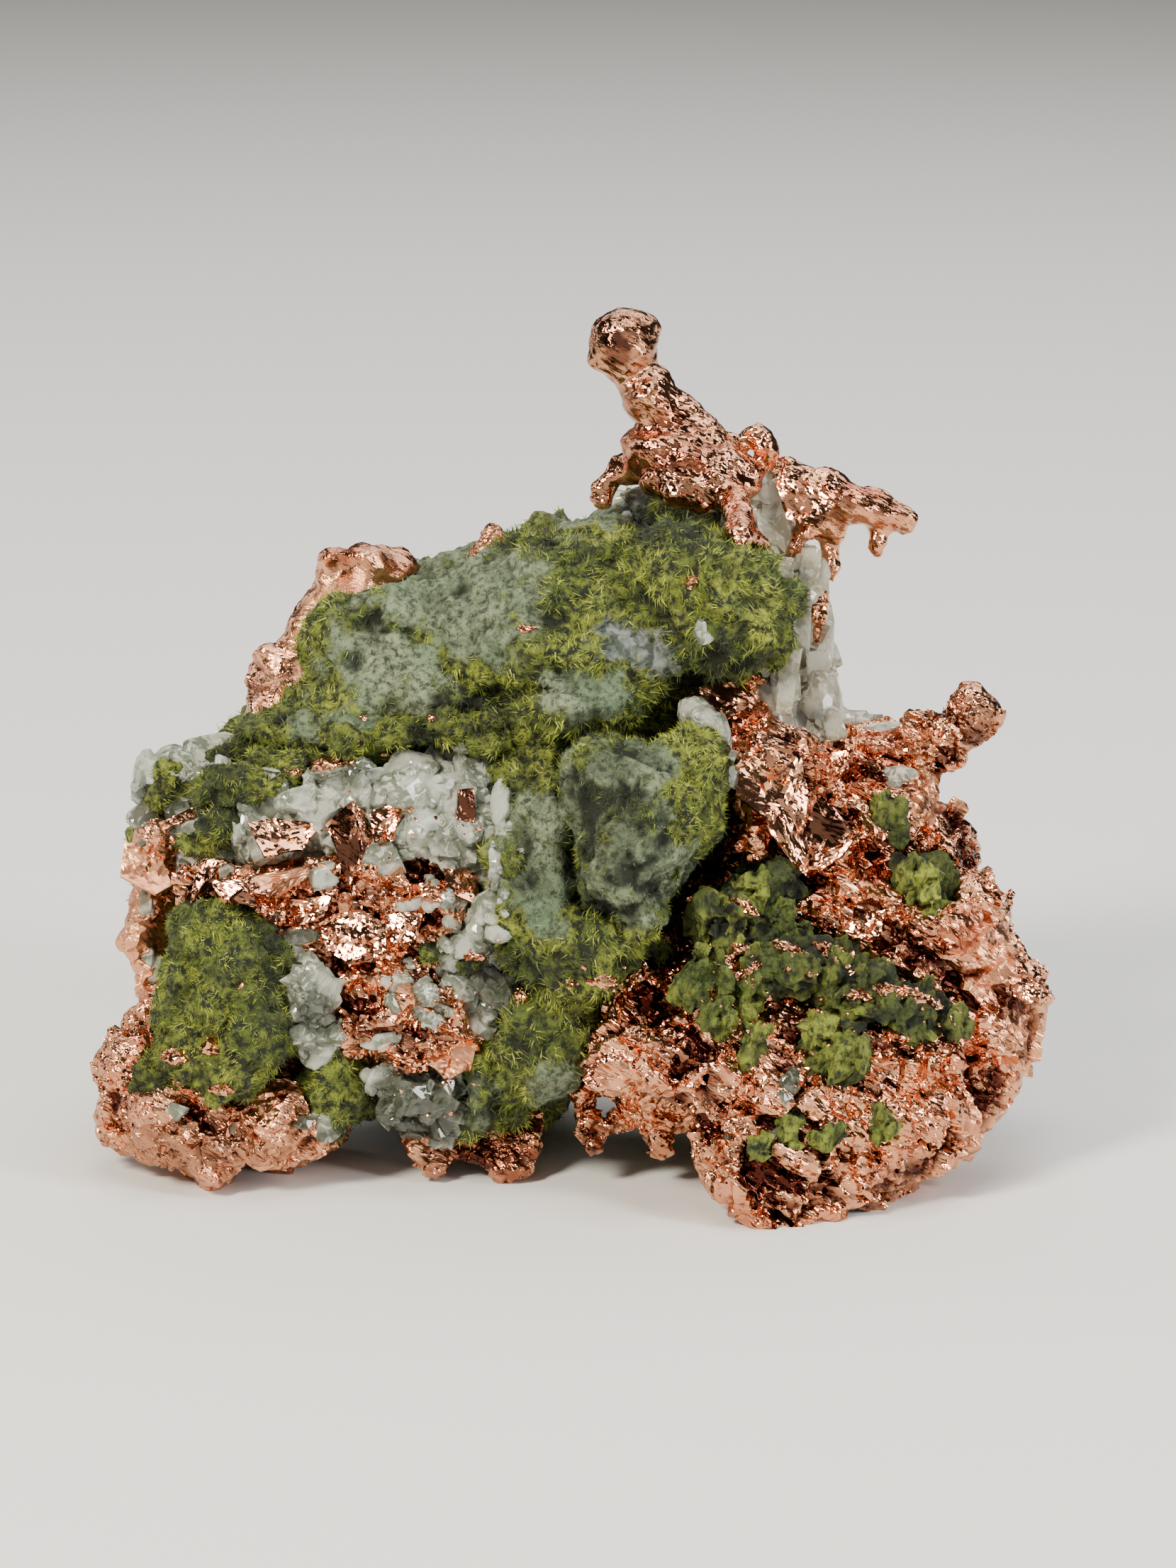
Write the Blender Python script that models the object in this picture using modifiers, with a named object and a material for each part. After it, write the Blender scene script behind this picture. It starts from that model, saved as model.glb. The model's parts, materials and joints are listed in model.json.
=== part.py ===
"""Native copper grown through green epidote rock and milky quartz.

The specimen is described as it looks from its display side. A place there is
(u, v, d) in millimetres: u to the right of the middle, v up from the lowest
point seen, d away from the viewer. place() turns it into the part's own
frame, metres, +Z up, with the feet on Z = 0.
"""

import math

import bmesh
import bpy
from mathutils import Matrix, Vector, noise

MM = 0.001

# How the display side is seen.
VIEW_ELEVATION = math.radians(14.0)
VIEW_DISTANCE = 550.0
SIGHT_V = 37.4
SIGHT_HEIGHT = 30.9
# Moves the middle of the finished specimen's box onto the origin.
CENTRE_X = 1.1
CENTRE_Y = 1.5

# A bed is cut this much wider than the piece in it, and trimmed to this at least.
FIT_GAP = 0.65
LEAST_GAP = 0.05
FLOOR_SIDE = 0.2

RIGHT = Vector((1, 0, 0))
AWAY = Vector((0, math.cos(VIEW_ELEVATION), -math.sin(VIEW_ELEVATION)))
UPWARD = Vector((0, math.sin(VIEW_ELEVATION), math.cos(VIEW_ELEVATION)))
VIEW_TURN = Matrix((RIGHT, AWAY, UPWARD)).transposed().to_4x4()

COPPER = (0.83, 0.44, 0.31, 1.0)
EPIDOTE = (0.24, 0.29, 0.07, 1.0)
NODULE_GREEN = (0.25, 0.31, 0.22, 1.0)
QUARTZ = (0.66, 0.68, 0.62, 1.0)
CALCITE = (0.72, 0.70, 0.63, 1.0)


def clear_scene():
    for obj in list(bpy.data.objects):
        bpy.data.objects.remove(obj, do_unlink=True)


def place(u, v, d):
    """The frame position of what shows at (u, v) from the display side, d deep."""
    spread = 1 + d / VIEW_DISTANCE
    seen = RIGHT * (u * spread) + UPWARD * ((v - SIGHT_V) * spread) + AWAY * d
    return (seen + Vector((CENTRE_X, CENTRE_Y, SIGHT_HEIGHT))) * MM


def new_collection(name):
    collection = bpy.data.collections.new(name)
    bpy.context.scene.collection.children.link(collection)
    return collection


def mineral(name, colour, roughness, metallic):
    material = bpy.data.materials.new(name)
    material.use_nodes = True
    shader = material.node_tree.nodes["Principled BSDF"]
    shader.inputs["Base Color"].default_value = colour
    shader.inputs["Roughness"].default_value = roughness
    shader.inputs["Metallic"].default_value = metallic
    return material


def add_lump(bm, u, v, d, half_u, half_v, half_d, roll=0.0):
    """A rounded lump, rolled clockwise about the line of sight by roll degrees."""
    size = Matrix.Diagonal((half_u * MM, half_d * MM, half_v * MM, 1))
    turn = VIEW_TURN @ Matrix.Rotation(math.radians(roll), 4, "Y")
    matrix = Matrix.Translation(place(u, v, d)) @ turn @ size
    bmesh.ops.create_icosphere(bm, subdivisions=3, radius=1, matrix=matrix)


def add_limb(bm, stations):
    """A knobbly branch through (u, v, d, radius) stations."""
    for (u0, v0, d0, r0), (u1, v1, d1, r1) in zip(stations, stations[1:]):
        run = math.dist((u0, v0, d0), (u1, v1, d1))
        steps = max(1, round(run / (0.5 * min(r0, r1))))
        for step in range(steps + 1):
            t = step / steps
            spot = place(u0 + (u1 - u0) * t, v0 + (v1 - v0) * t, d0 + (d1 - d0) * t)
            bmesh.ops.create_icosphere(
                bm,
                subdivisions=2,
                radius=(r0 + (r1 - r0) * t) * MM,
                matrix=Matrix.Translation(spot),
            )


def add_slab(bm, outline, lean, rings):
    """A slab with a drawn outline.

    lean is (depth at the middle, depth per mm of u, depth per mm of v). Each
    ring is (depth from that plane, scale of the outline about its middle), from
    the front to the back.
    """
    mid_u = sum(u for u, v in outline) / len(outline)
    mid_v = sum(v for u, v in outline) / len(outline)
    depth, per_u, per_v = lean

    def ring(deeper, scale):
        points = []
        for u, v in outline:
            du, dv = (u - mid_u) * scale, (v - mid_v) * scale
            d = depth + per_u * du + per_v * dv + deeper
            points.append(place(mid_u + du, mid_v + dv, d))
        return points

    front = bm.faces.new([bm.verts.new(point) for point in ring(*rings[0])])
    back = front
    slab = [front]
    for step in rings[1:]:
        made = bmesh.ops.extrude_face_region(bm, geom=[back])
        if back is not front:
            bmesh.ops.delete(bm, geom=[back], context="FACES_ONLY")
        back = next(i for i in made["geom"] if isinstance(i, bmesh.types.BMFace))
        for vert, point in zip(back.verts, ring(*step)):
            vert.co = point
        slab += [face for edge in back.edges for face in edge.link_faces]
    slab = list(dict.fromkeys(face for face in slab if face.is_valid))
    bmesh.ops.recalc_face_normals(bm, faces=slab)
    bmesh.ops.triangulate(bm, faces=[front, back])


def add_crystal(bm, u, v, d, length, width, lean=0.0, roll=0.0, sides=6, tip=0.4):
    """A flat-faced blunt prism, leaning towards the viewer and rolled clockwise."""
    turn = (
        VIEW_TURN
        @ Matrix.Rotation(math.radians(roll), 4, "Y")
        @ Matrix.Rotation(math.radians(lean), 4, "X")
    )
    seat = Matrix.Translation(place(u, v, d)) @ turn
    made = bmesh.ops.create_cone(
        bm,
        cap_ends=True,
        segments=sides,
        radius1=width / 2 * MM,
        radius2=width / 2 * MM,
        depth=length * (1 - tip) * MM,
        matrix=seat @ Matrix.Translation((0, 0, length * (1 - tip) / 2 * MM)),
    )
    top = seat @ Vector((0, 0, length * (1 - tip) * MM))
    caps = {face for vert in made["verts"] for face in vert.link_faces}
    cap = min(
        (face for face in caps if len(face.verts) == sides or sides == 4),
        key=lambda face: (face.calc_center_median() - top).length,
    )
    point = bmesh.ops.extrude_face_region(bm, geom=[cap])
    verts = [item for item in point["geom"] if isinstance(item, bmesh.types.BMVert)]
    bmesh.ops.delete(bm, geom=[cap], context="FACES_ONLY")
    rise = (turn @ Vector((0, 0, 1))) * length * tip * MM
    for vert in verts:
        vert.co = top + rise + (vert.co - top) * 0.3


def add_object(name, bm, collection):
    mesh = bpy.data.meshes.new(name)
    bm.to_mesh(mesh)
    bm.free()
    obj = bpy.data.objects.new(name, mesh)
    collection.objects.link(obj)
    return obj


def add_tool(name, bm, collection):
    obj = add_object(name, bm, collection)
    obj.hide_render = True
    obj.display_type = "WIRE"
    return obj


def apply_modifiers(obj):
    bpy.context.view_layer.update()
    graph = bpy.context.evaluated_depsgraph_get()
    applied = bpy.data.meshes.new_from_object(obj.evaluated_get(graph))
    obj.modifiers.clear()
    obj.data = applied


def keep_largest(obj):
    """Drops the crumbs that a cut leaves free of the piece."""
    bm = bmesh.new()
    bm.from_mesh(obj.data)
    left = set(bm.faces)
    islands = []
    while left:
        queue = [left.pop()]
        island = set(queue)
        while queue:
            for edge in queue.pop().edges:
                for face in edge.link_faces:
                    if face in left:
                        left.remove(face)
                        island.add(face)
                        queue.append(face)
        islands.append(island)
    largest = max(islands, key=lambda island: sum(face.calc_area() for face in island))
    crumbs = [face for face in bm.faces if face not in largest]
    bmesh.ops.delete(bm, geom=crumbs, context="FACES")
    bm.to_mesh(obj.data)
    bm.free()


def fuse(obj, voxel, smoothing):
    """Grows the overlapping lumps of a piece into one skin."""
    remesh = obj.modifiers.new("Fuse", "REMESH")
    remesh.mode = "VOXEL"
    remesh.voxel_size = voxel * MM
    smooth = obj.modifiers.new("Soften", "SMOOTH")
    smooth.factor = 0.5
    smooth.iterations = smoothing
    apply_modifiers(obj)
    keep_largest(obj)


def roughen(obj, seed, relief):
    """Hills and pits. relief lists (spacing, height) in mm."""
    shift = Vector((seed * 3.7, seed * 1.9, seed * 5.3))
    mesh = obj.data
    normals = [vert.normal.copy() for vert in mesh.vertices]
    for vert, normal in zip(mesh.vertices, normals):
        move = 0.0
        for spacing, height in relief:
            move += noise.noise(vert.co / (spacing * MM) + shift) * height * MM
        vert.co += normal * move


def thin_out(obj, triangles):
    """Merges small faces until about this many triangles are left."""
    obj.data.calc_loop_triangles()
    decimate = obj.modifiers.new("Facet", "DECIMATE")
    decimate.ratio = triangles / len(obj.data.loop_triangles)
    decimate.use_collapse_triangulate = True
    apply_modifiers(obj)


def add_boolean(obj, other, operation):
    modifier = obj.modifiers.new(f"{operation} {other.name}", "BOOLEAN")
    modifier.operation = operation
    modifier.object = other
    modifier.solver = "EXACT"
    modifier.use_self = True


class Specimen:
    """The pieces made so far, and the beds that they press into later ones."""

    def __init__(self):
        self.parts = new_collection("Specimen")
        self.tools = new_collection("Cutters")
        self.beds = []
        self.trims = []
        bm = bmesh.new()
        middle = Matrix.Translation((0, 0, -FLOOR_SIDE / 2))
        bmesh.ops.create_cube(bm, size=FLOOR_SIDE, matrix=middle)
        self.floor = add_tool("floor block", bm, self.tools)

    def press_bed(self, obj, gap):
        bm = bmesh.new()
        bm.from_mesh(obj.data)
        bm.normal_update()
        for vert in bm.verts:
            vert.co += vert.normal * gap * MM
        return add_tool(f"{obj.name} bed {gap}", bm, self.tools)

    def finish(self, obj, material):
        """Stands the piece on the floor and keeps its beds for the next ones."""
        cut_beds(obj, self.trims)
        add_boolean(obj, self.floor, "DIFFERENCE")
        apply_modifiers(obj)
        keep_largest(obj)
        bm = bmesh.new()
        bm.from_mesh(obj.data)
        bmesh.ops.triangulate(bm, faces=bm.faces)
        bm.to_mesh(obj.data)
        bm.free()
        self.beds.append(self.press_bed(obj, FIT_GAP))
        self.trims.append(self.press_bed(obj, LEAST_GAP))
        obj.data.materials.clear()
        obj.data.materials.append(material)


def box_of(obj):
    corners = [vert.co for vert in obj.data.vertices]
    low = [min(corner[i] for corner in corners) for i in range(3)]
    high = [max(corner[i] for corner in corners) for i in range(3)]
    return low, high


def cut_beds(obj, beds):
    """Takes from the piece those beds of finished neighbours that reach it."""
    low, high = box_of(obj)
    reached = 0
    for bed in beds:
        bed_low, bed_high = box_of(bed)
        if all(bed_low[i] < high[i] and low[i] < bed_high[i] for i in range(3)):
            add_boolean(obj, bed, "DIFFERENCE")
            reached += 1
    return reached


def grow(specimen, name, bm, triangles, seed, voxel=0.9, smoothing=3, relief=()):
    """One mineral piece from its overlapping lumps, slabs and limbs."""
    obj = add_object(name, bm, specimen.parts)
    fuse(obj, voxel, smoothing)
    roughen(obj, seed, relief)
    thin_out(obj, triangles * 2)
    if cut_beds(obj, specimen.beds):
        fuse(obj, voxel * 0.7, 0)
    thin_out(obj, triangles)
    return obj


def set_crystals(specimen, obj, crystals):
    """Crystals keep their flat faces, so they join the finished skin."""
    bm = bmesh.new()
    for crystal in crystals:
        add_crystal(bm, **crystal)
    tool = add_tool(f"{obj.name} crystals", bm, specimen.tools)
    cut_beds(tool, specimen.beds)
    apply_modifiers(tool)
    add_boolean(obj, tool, "UNION")
    apply_modifiers(obj)


HACKLY = ((5.0, 1.9), (2.4, 0.9))
NODULAR = ((2.4, 0.6),)
MOSSY = ((5.0, 1.6), (2.2, 0.7))
ROCKY = ((8.0, 1.8), (3.6, 1.2))


def make_copper_crown(specimen, copper):
    """The nodular branch standing over the dome, with its bulb and its loop."""
    bm = bmesh.new()
    stem = [
        (3.2, 74.8, 0, 2.8), (3.9, 72, 0, 2.0), (5.2, 70, 0, 2.4), (6.8, 68, 0, 2.5),
        (9.3, 66.3, 0, 2.3), (12, 65.4, 0, 1.4),
    ]
    add_limb(bm, stem)
    for u, v, d, radius in (
        (1.6, 73.8, -0.5, 1.5), (4.8, 75.8, 0.3, 1.4), (6.4, 71.6, 0, 0.8),
        (7.6, 69.6, 0.5, 1.2), (8.8, 68.6, 0.5, 1.0), (10.3, 67.6, 0.3, 1.0),
    ):
        add_lump(bm, u, v, d, radius, radius, radius)
    collar = [
        (4, 66.2, -0.5, 1.3), (5.5, 65.3, -1.5, 1.6), (8, 64.5, -2, 2.2),
        (11, 64.5, -1.5, 2), (13.5, 63.2, -1.5, 1.5),
    ]
    add_limb(bm, collar)
    add_limb(bm, [(8, 64.5, -2, 2), (7.5, 62.3, -3, 1.5), (9.6, 61.8, -3, 1.4)])
    add_limb(bm, [(6.8, 67, -0.5, 1.6), (5.6, 63, -1.8, 1.4)])
    loop = [
        (11.6, 65.6, 0, 0.8), (12.6, 66.4, 0, 0.7), (13.5, 66.7, 0, 0.7),
        (14.6, 66.9, 0, 0.9), (15.2, 65.8, 0, 0.8), (14.8, 64.4, 0, 0.8),
        (13.8, 63.3, -0.5, 0.9), (12.4, 63.1, -0.8, 0.9), (11.7, 64.4, -0.3, 0.8),
    ]
    add_limb(bm, loop)
    root = [
        (12.2, 61.5, -4, 1.2), (12.8, 60, -7.5, 1.1), (13, 58.5, -11, 1.0),
        (13, 57.2, -12.4, 0.7),
    ]
    add_limb(bm, [(10.5, 63.5, -2, 1.6)] + root)
    add_limb(bm, [(13, 58.4, -10.6, 0.8), (15, 57.8, -8.5, 0.6)])
    horn = [
        (5.4, 65, -0.5, 1.3), (4.2, 64, 1, 1.2), (2.6, 64, 1.5, 1.1),
        (1.5, 62.8, 1.5, 0.9), (1.2, 61.7, 1.5, 0.6),
    ]
    add_limb(bm, horn)
    obj = grow(specimen, "copper_crown", bm, 720, 1, 0.45, 1, NODULAR)
    specimen.finish(obj, copper)


def make_copper_hook(specimen, copper):
    """The knob at the upper right with its hook and legs over the pale crystals."""
    bm = bmesh.new()
    knob = [
        (15.8, 64.4, 3, 0.8), (17, 63.3, 2, 1.5), (19, 62.2, 2, 2), (21.5, 61.5, 2, 2),
        (24, 60.8, 2, 1.6), (26.2, 60, 2, 1.1), (27, 59.5, 2, 0.8),
    ]
    add_limb(bm, knob)
    add_limb(bm, [(24.5, 59.8, 2, 0.9), (24.5, 58, 2, 0.8), (24.4, 57.3, 2, 0.7)])
    add_limb(bm, [(19.2, 60.8, 3, 1.2), (18.3, 58.2, 2.5, 1), (17.4, 56.8, 2, 0.7)])
    leg = [(20.8, 60, 3, 1.2), (20.5, 58, 4, 1), (20.6, 56, 4, 0.8), (20.6, 54.6, 4, 0.6)]
    add_limb(bm, leg)
    obj = grow(specimen, "copper_hook_upper_right", bm, 260, 2, 0.5, 1, NODULAR)
    specimen.finish(obj, copper)


def make_copper_arm(specimen, copper):
    """The arm reaching out at the right shoulder, with its web below."""
    bm = bmesh.new()
    arm = [
        (22, 40.5, 0, 1.5), (25, 40.8, 0, 1.6), (28, 41.2, 0, 1.6), (30.5, 41.8, 0, 1.7),
        (32.5, 42.6, 0, 2.0), (33.2, 43.2, 0, 1.9),
    ]
    add_limb(bm, arm)
    for u, v, d, radius in (
        (27.7, 43, 0, 0.9), (29, 43.7, 0, 0.8), (32.3, 44.2, 0, 1.2), (31, 39.5, 0, 1.0),
    ):
        add_lump(bm, u, v, d, radius, radius * 1.1, radius)
    add_limb(bm, [(29, 43.7, 0, 0.8), (29, 42, 0, 0.9)])
    add_limb(bm, [(28.7, 40, 0, 1.4), (28.7, 38, 0, 1.3), (28.4, 35.5, 0, 1.3)])
    obj = grow(specimen, "copper_arm_right", bm, 260, 3, 0.5, 1, NODULAR)
    specimen.finish(obj, copper)


def make_green_nodule(specimen, nodule):
    """The smooth green pebble that stands out in the middle."""
    bm = bmesh.new()
    pebble = [
        (-2.4, 38.4), (-1.4, 40.2), (1, 41), (4, 40.9), (6.6, 40.3), (8.6, 38.8),
        (10, 36.6), (10.6, 34), (9.4, 31.4), (7.8, 29.6), (6.6, 27), (5.4, 24.2),
        (3.4, 23), (1.4, 24.6), (0, 27.4), (-0.5, 30.5), (-1.4, 33.5), (-2.4, 36),
    ]
    rings = ((-6.6, 0.3), (-6, 0.5), (-4.6, 0.72), (-2.6, 0.89), (0, 1), (5, 1))
    add_slab(bm, pebble, (-15.5, 0, 0), rings)
    add_lump(bm, 8.3, 38.2, -13.6, 3.4, 4.2, 4)
    obj = grow(specimen, "green_nodule", bm, 300, 4, 0.9, 6, ((6.0, 1.2),))
    specimen.finish(obj, nodule)


def make_copper_plate_left(specimen, copper):
    """The satin lobe at the lower left and the crusted rim above it."""
    bm = bmesh.new()
    lobe = [
        (-41, 13.5), (-41.2, 11.5), (-40.8, 8.5), (-39.5, 7.3), (-38, 6), (-36, 5.7),
        (-34, 5.3), (-33.4, 4.3), (-32, 3.5), (-30.5, 3.8), (-29.6, 5.2), (-29.4, 6.6),
        (-28.5, 7), (-27.2, 6.2), (-26.5, 4.8), (-25.3, 6.2), (-23, 6.8), (-21, 7),
        (-20.3, 8), (-20.5, 10), (-20.5, 13), (-22, 14.5), (-26, 15.5), (-31, 15.5),
        (-36, 16), (-40, 15),
    ]
    rings = ((-7, 0.6), (-5, 0.83), (-1.5, 0.97), (0, 1), (3, 0.98), (8, 0.75))
    add_slab(bm, lobe, (-4.5, 0.1, 0.2), rings)
    rim = [
        (-37.4, 14, -5, 2.4), (-36.9, 18, -5, 1.8), (-37, 21, -4, 1.8),
        (-37.6, 24, -3, 2.0), (-37.4, 26.4, -3, 2.0), (-36.7, 28.8, -3, 1.8),
        (-37.1, 31.2, -3, 2.3), (-36.2, 33, -3, 1.5),
    ]
    add_limb(bm, rim)
    obj = grow(specimen, "copper_plate_left", bm, 760, 5, 0.8, 2, HACKLY)
    specimen.finish(obj, copper)


def make_copper_sheet_centre(specimen, copper):
    """The torn sheet of copper that runs through the quartz."""
    bm = bmesh.new()
    sheet = [
        (-33.5, 29), (-31, 31), (-28, 29.8), (-22, 31), (-20, 29.5), (-17, 30.5),
        (-13, 31), (-10, 30), (-9.5, 26), (-12.5, 24.5), (-12, 21), (-10, 18), (-9, 15),
        (-9.5, 13.5), (-12, 12.5), (-17, 14), (-20.5, 15), (-21, 18.5), (-22, 21.5),
        (-26.5, 23.5), (-28.5, 26.5), (-32.5, 27.3),
    ]
    add_slab(bm, sheet, (-10.5, 0, 0), ((-2.2, 0.82), (-1.2, 0.95), (0, 1), (3, 0.95)))
    add_limb(bm, [(-32, 28.6, -10, 1.4), (-27, 28.6, -12, 1.5), (-23, 29.5, -12.5, 1.4)])
    obj = grow(specimen, "copper_sheet_centre", bm, 540, 6, 0.6, 2, HACKLY)
    specimen.finish(obj, copper)


def make_copper_bridge(specimen, copper):
    """The low arch between the lobes, with a window through it."""
    bm = bmesh.new()
    add_limb(bm, [(-0.6, 14, -8, 1.3), (-0.6, 11, -8, 1.0), (-0.2, 9, -8, 0.9),
                  (0.2, 7.2, -8, 0.8), (0.5, 6.5, -8, 0.6)])
    add_limb(bm, [(0, 8.3, -8, 0.7), (2, 8.4, -8, 0.6), (3.2, 9.2, -8, 0.8),
                  (4.5, 10.2, -8, 1.1)])
    add_limb(bm, [(3.6, 10, -8, 0.9), (3.6, 12, -8, 1.1), (1, 12.5, -8, 1.1),
                  (-0.6, 12, -8, 1.0)])
    add_limb(bm, [(5, 11, -8, 1.5), (5.8, 9, -8, 1.2), (6, 6.7, -8, 0.9)])
    add_limb(bm, [(6, 9, -8, 1.2), (8, 10, -8, 1.6), (9, 12, -8, 2.0)])
    obj = grow(specimen, "copper_bridge_bottom", bm, 320, 7, 0.45, 1, NODULAR)
    specimen.finish(obj, copper)


def make_copper_flap(specimen, copper):
    """The thin red-brown flap hanging under the middle."""
    bm = bmesh.new()
    flap = [
        (-15.6, 9), (-15.2, 6), (-14.2, 4.6), (-12.6, 4.3), (-11.5, 5.8), (-9, 4.8),
        (-7.5, 4.0), (-6, 4.5), (-4.7, 5.2), (-4.2, 7), (-3.5, 9), (-5, 11), (-9, 11),
        (-13, 10.5),
    ]
    add_slab(bm, flap, (-5.6, 0, 0.3), ((-0.8, 0.94), (0, 1), (1.2, 0.94)))
    obj = grow(specimen, "copper_flap_bottom", bm, 160, 8, 0.5, 1, ((3.0, 0.7),))
    specimen.finish(obj, copper)


def make_copper_ridge(specimen, copper):
    """The crest of copper along the upper left skyline."""
    bm = bmesh.new()
    crest = [
        (-29.6, 42), (-28.4, 44), (-28.9, 46.4), (-28.3, 48.5), (-26.2, 48.3),
        (-25.5, 51), (-24.1, 53), (-22.8, 53.9), (-23, 55), (-21.7, 56.9), (-19.5, 57.5),
        (-16.5, 57), (-14.4, 56), (-17, 53.6), (-20, 51), (-22.3, 48.5), (-22.8, 45.5),
        (-25, 43), (-27.5, 41.5),
    ]
    add_slab(bm, crest, (0, 0.05, 0.05), ((-1.6, 0.93), (0, 1), (2.4, 0.97)))
    obj = grow(specimen, "copper_ridge_upper_left", bm, 220, 9, 0.6, 1, NODULAR)
    specimen.finish(obj, copper)


def make_copper_fin(specimen, copper):
    """The small thorn on top of the dome's left shoulder."""
    bm = bmesh.new()
    fin = [
        (-9.9, 56.8), (-9, 58.2), (-8.2, 59.4), (-7.4, 58.8), (-6.9, 57.6), (-7.2, 54.5),
        (-9.6, 54.5),
    ]
    add_slab(bm, fin, (0, 0, 0), ((-0.8, 0.9), (0, 1), (0.9, 0.85)))
    obj = add_object("copper_fin_top", bm, specimen.parts)
    specimen.finish(obj, copper)


def make_epidote_patch(specimen, epidote):
    """The mossy cushion on the left lobe."""
    bm = bmesh.new()
    for lump in (
        (-31, 21.5, -12, 5.2, 5.6, 3.4), (-28.3, 17, -12, 3.2, 4.4, 3),
        (-33.5, 16.5, -11, 3.4, 4, 3), (-30.5, 13, -12.5, 2.8, 3, 2.5),
        (-36.4, 13.2, -9.5, 2.8, 1.5, 2), (-32.5, 25, -10.5, 3.6, 2.6, 2.8),
    ):
        add_lump(bm, *lump)
    obj = grow(specimen, "epidote_patch_left", bm, 260, 10, 0.7, 2, MOSSY)
    specimen.finish(obj, epidote)


def make_epidote_tuft(specimen, epidote):
    """The tuft under the torn sheet."""
    bm = bmesh.new()
    add_lump(bm, -21.5, 11, -9, 2.6, 3.2, 3)
    add_lump(bm, -22, 8.6, -8, 1.6, 1.6, 2)
    obj = grow(specimen, "epidote_tuft_left", bm, 90, 11, 0.7, 1, MOSSY)
    specimen.finish(obj, epidote)


def make_epidote_vein(specimen, epidote):
    """The green vein that comes out of the right lobe in clumps."""
    bm = bmesh.new()
    for lump in (
        (15.2, 28.7, -10.8, 2.4, 2.4, 3), (12.5, 25.2, -13, 3.4, 2.6, 3.5),
        (17, 22, -13, 3.6, 3, 3.5), (22, 20, -12.8, 3.2, 3, 3.5),
        (27, 18, -10.8, 4.5, 2.2, 3.5), (20.5, 15, -14.6, 3, 3, 3.5),
    ):
        add_lump(bm, *lump)
    add_limb(bm, [(15, 28, -9.5, 1.6), (14, 25, -11, 2), (17, 22, -12, 2), (26, 18, -9.5, 2)])
    obj = grow(specimen, "epidote_vein_right", bm, 360, 12, 0.7, 2, MOSSY)
    specimen.finish(obj, epidote)


def make_epidote_tablet(specimen, epidote):
    """The flat-faced green crystal near the right edge."""
    bm = bmesh.new()
    tablet = [
        (26.5, 27), (27.5, 25.5), (29.8, 25.8), (30.6, 28), (29.8, 31), (27.8, 31.6),
        (26.6, 30),
    ]
    rings = ((-3.2, 0.7), (-2.2, 1), (3, 1))
    add_slab(bm, tablet, (-6.6, 0.15, 0.3), rings)
    obj = add_object("epidote_tablet_right", bm, specimen.parts)
    specimen.finish(obj, epidote)


def make_calcite(specimen, calcite):
    """The pale blocky crystals behind the dome's right side."""
    bm = bmesh.new()
    body = [
        (13, 64.4), (15, 64.2), (16.2, 63), (18.5, 58), (19.7, 54), (20.0, 49.8),
        (20.8, 48), (20.6, 45), (21.8, 43), (24, 42.6), (26.6, 42.2), (26, 39.5),
        (20, 38), (12, 40), (10, 50), (11, 60),
    ]
    add_slab(bm, body, (1.5, 0.1, 0.1), ((-1, 0.9), (0.5, 1), (5.5, 1), (8, 0.84)))
    obj = grow(specimen, "calcite_crystals_right", bm, 320, 13, 0.8, 1, ((5.0, 0.8),))
    crystals = (
        {"u": 16, "v": 41, "d": -2.2, "length": 9, "width": 3.6, "lean": 4, "roll": -4},
        {"u": 19.2, "v": 40.5, "d": -1.4, "length": 7.6, "width": 3.2, "roll": 6},
        {"u": 13.6, "v": 42, "d": -1.6, "length": 9, "width": 3.0, "roll": 3},
        {"u": 17.6, "v": 48.5, "d": 1, "length": 8, "width": 3.0, "lean": 6, "roll": 14},
        {"u": 15.2, "v": 53, "d": 1.5, "length": 8, "width": 3.2, "roll": -8},
        {"u": 17.6, "v": 55, "d": 2.5, "length": 6, "width": 2.6, "roll": 10},
    )
    set_crystals(specimen, obj, crystals)
    specimen.finish(obj, calcite)


def make_quartz_mass(specimen, quartz):
    """The milky quartz that holds the torn copper sheet."""
    bm = bmesh.new()
    for lump in (
        (-18, 34, -8, 11, 5, 5), (-11, 34, -9, 5, 6, 5), (-27.5, 33, -6, 6.5, 4.5, 4),
        (-11, 26, -8.5, 4, 5, 4.5), (-23, 19, -10.4, 2.6, 4.6, 3.5), (-16, 19, -9, 3.4, 4, 3),
        (-9, 19, -9, 3, 3, 3), (-14.3, 11.4, -8, 4, 4.6, 4), (-17, 26, -6, 9, 7, 5),
        (-24, 27, -6, 7, 5, 4),
    ):
        add_lump(bm, *lump)
    obj = grow(specimen, "quartz_mass_left", bm, 640, 14, 0.9, 2, ((4.0, 1.2), (2, 0.7)))
    crystals = (
        {"u": -16.5, "v": 33, "d": -12, "length": 3.2, "width": 3.4, "roll": 30},
        {"u": -13.4, "v": 35.5, "d": -12, "length": 3, "width": 3, "roll": -20},
        {"u": -20.5, "v": 35.5, "d": -11, "length": 3.4, "width": 3, "roll": 50},
        {"u": -25.5, "v": 34.6, "d": -9, "length": 3, "width": 3, "roll": -40},
        {"u": -29.5, "v": 33.4, "d": -8, "length": 3, "width": 3.2, "roll": -60},
        {"u": -23.4, "v": 16, "d": -12.6, "length": 3.4, "width": 2.8, "roll": 12},
        {"u": -22.8, "v": 19.6, "d": -12.6, "length": 3, "width": 2.8, "roll": -12},
        {"u": -11.4, "v": 26.5, "d": -12, "length": 3.6, "width": 3, "roll": 20},
        {"u": -15, "v": 9.5, "d": -10.5, "length": 3.6, "width": 3.2, "roll": -10},
    )
    set_crystals(specimen, obj, crystals)
    specimen.finish(obj, quartz)


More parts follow.
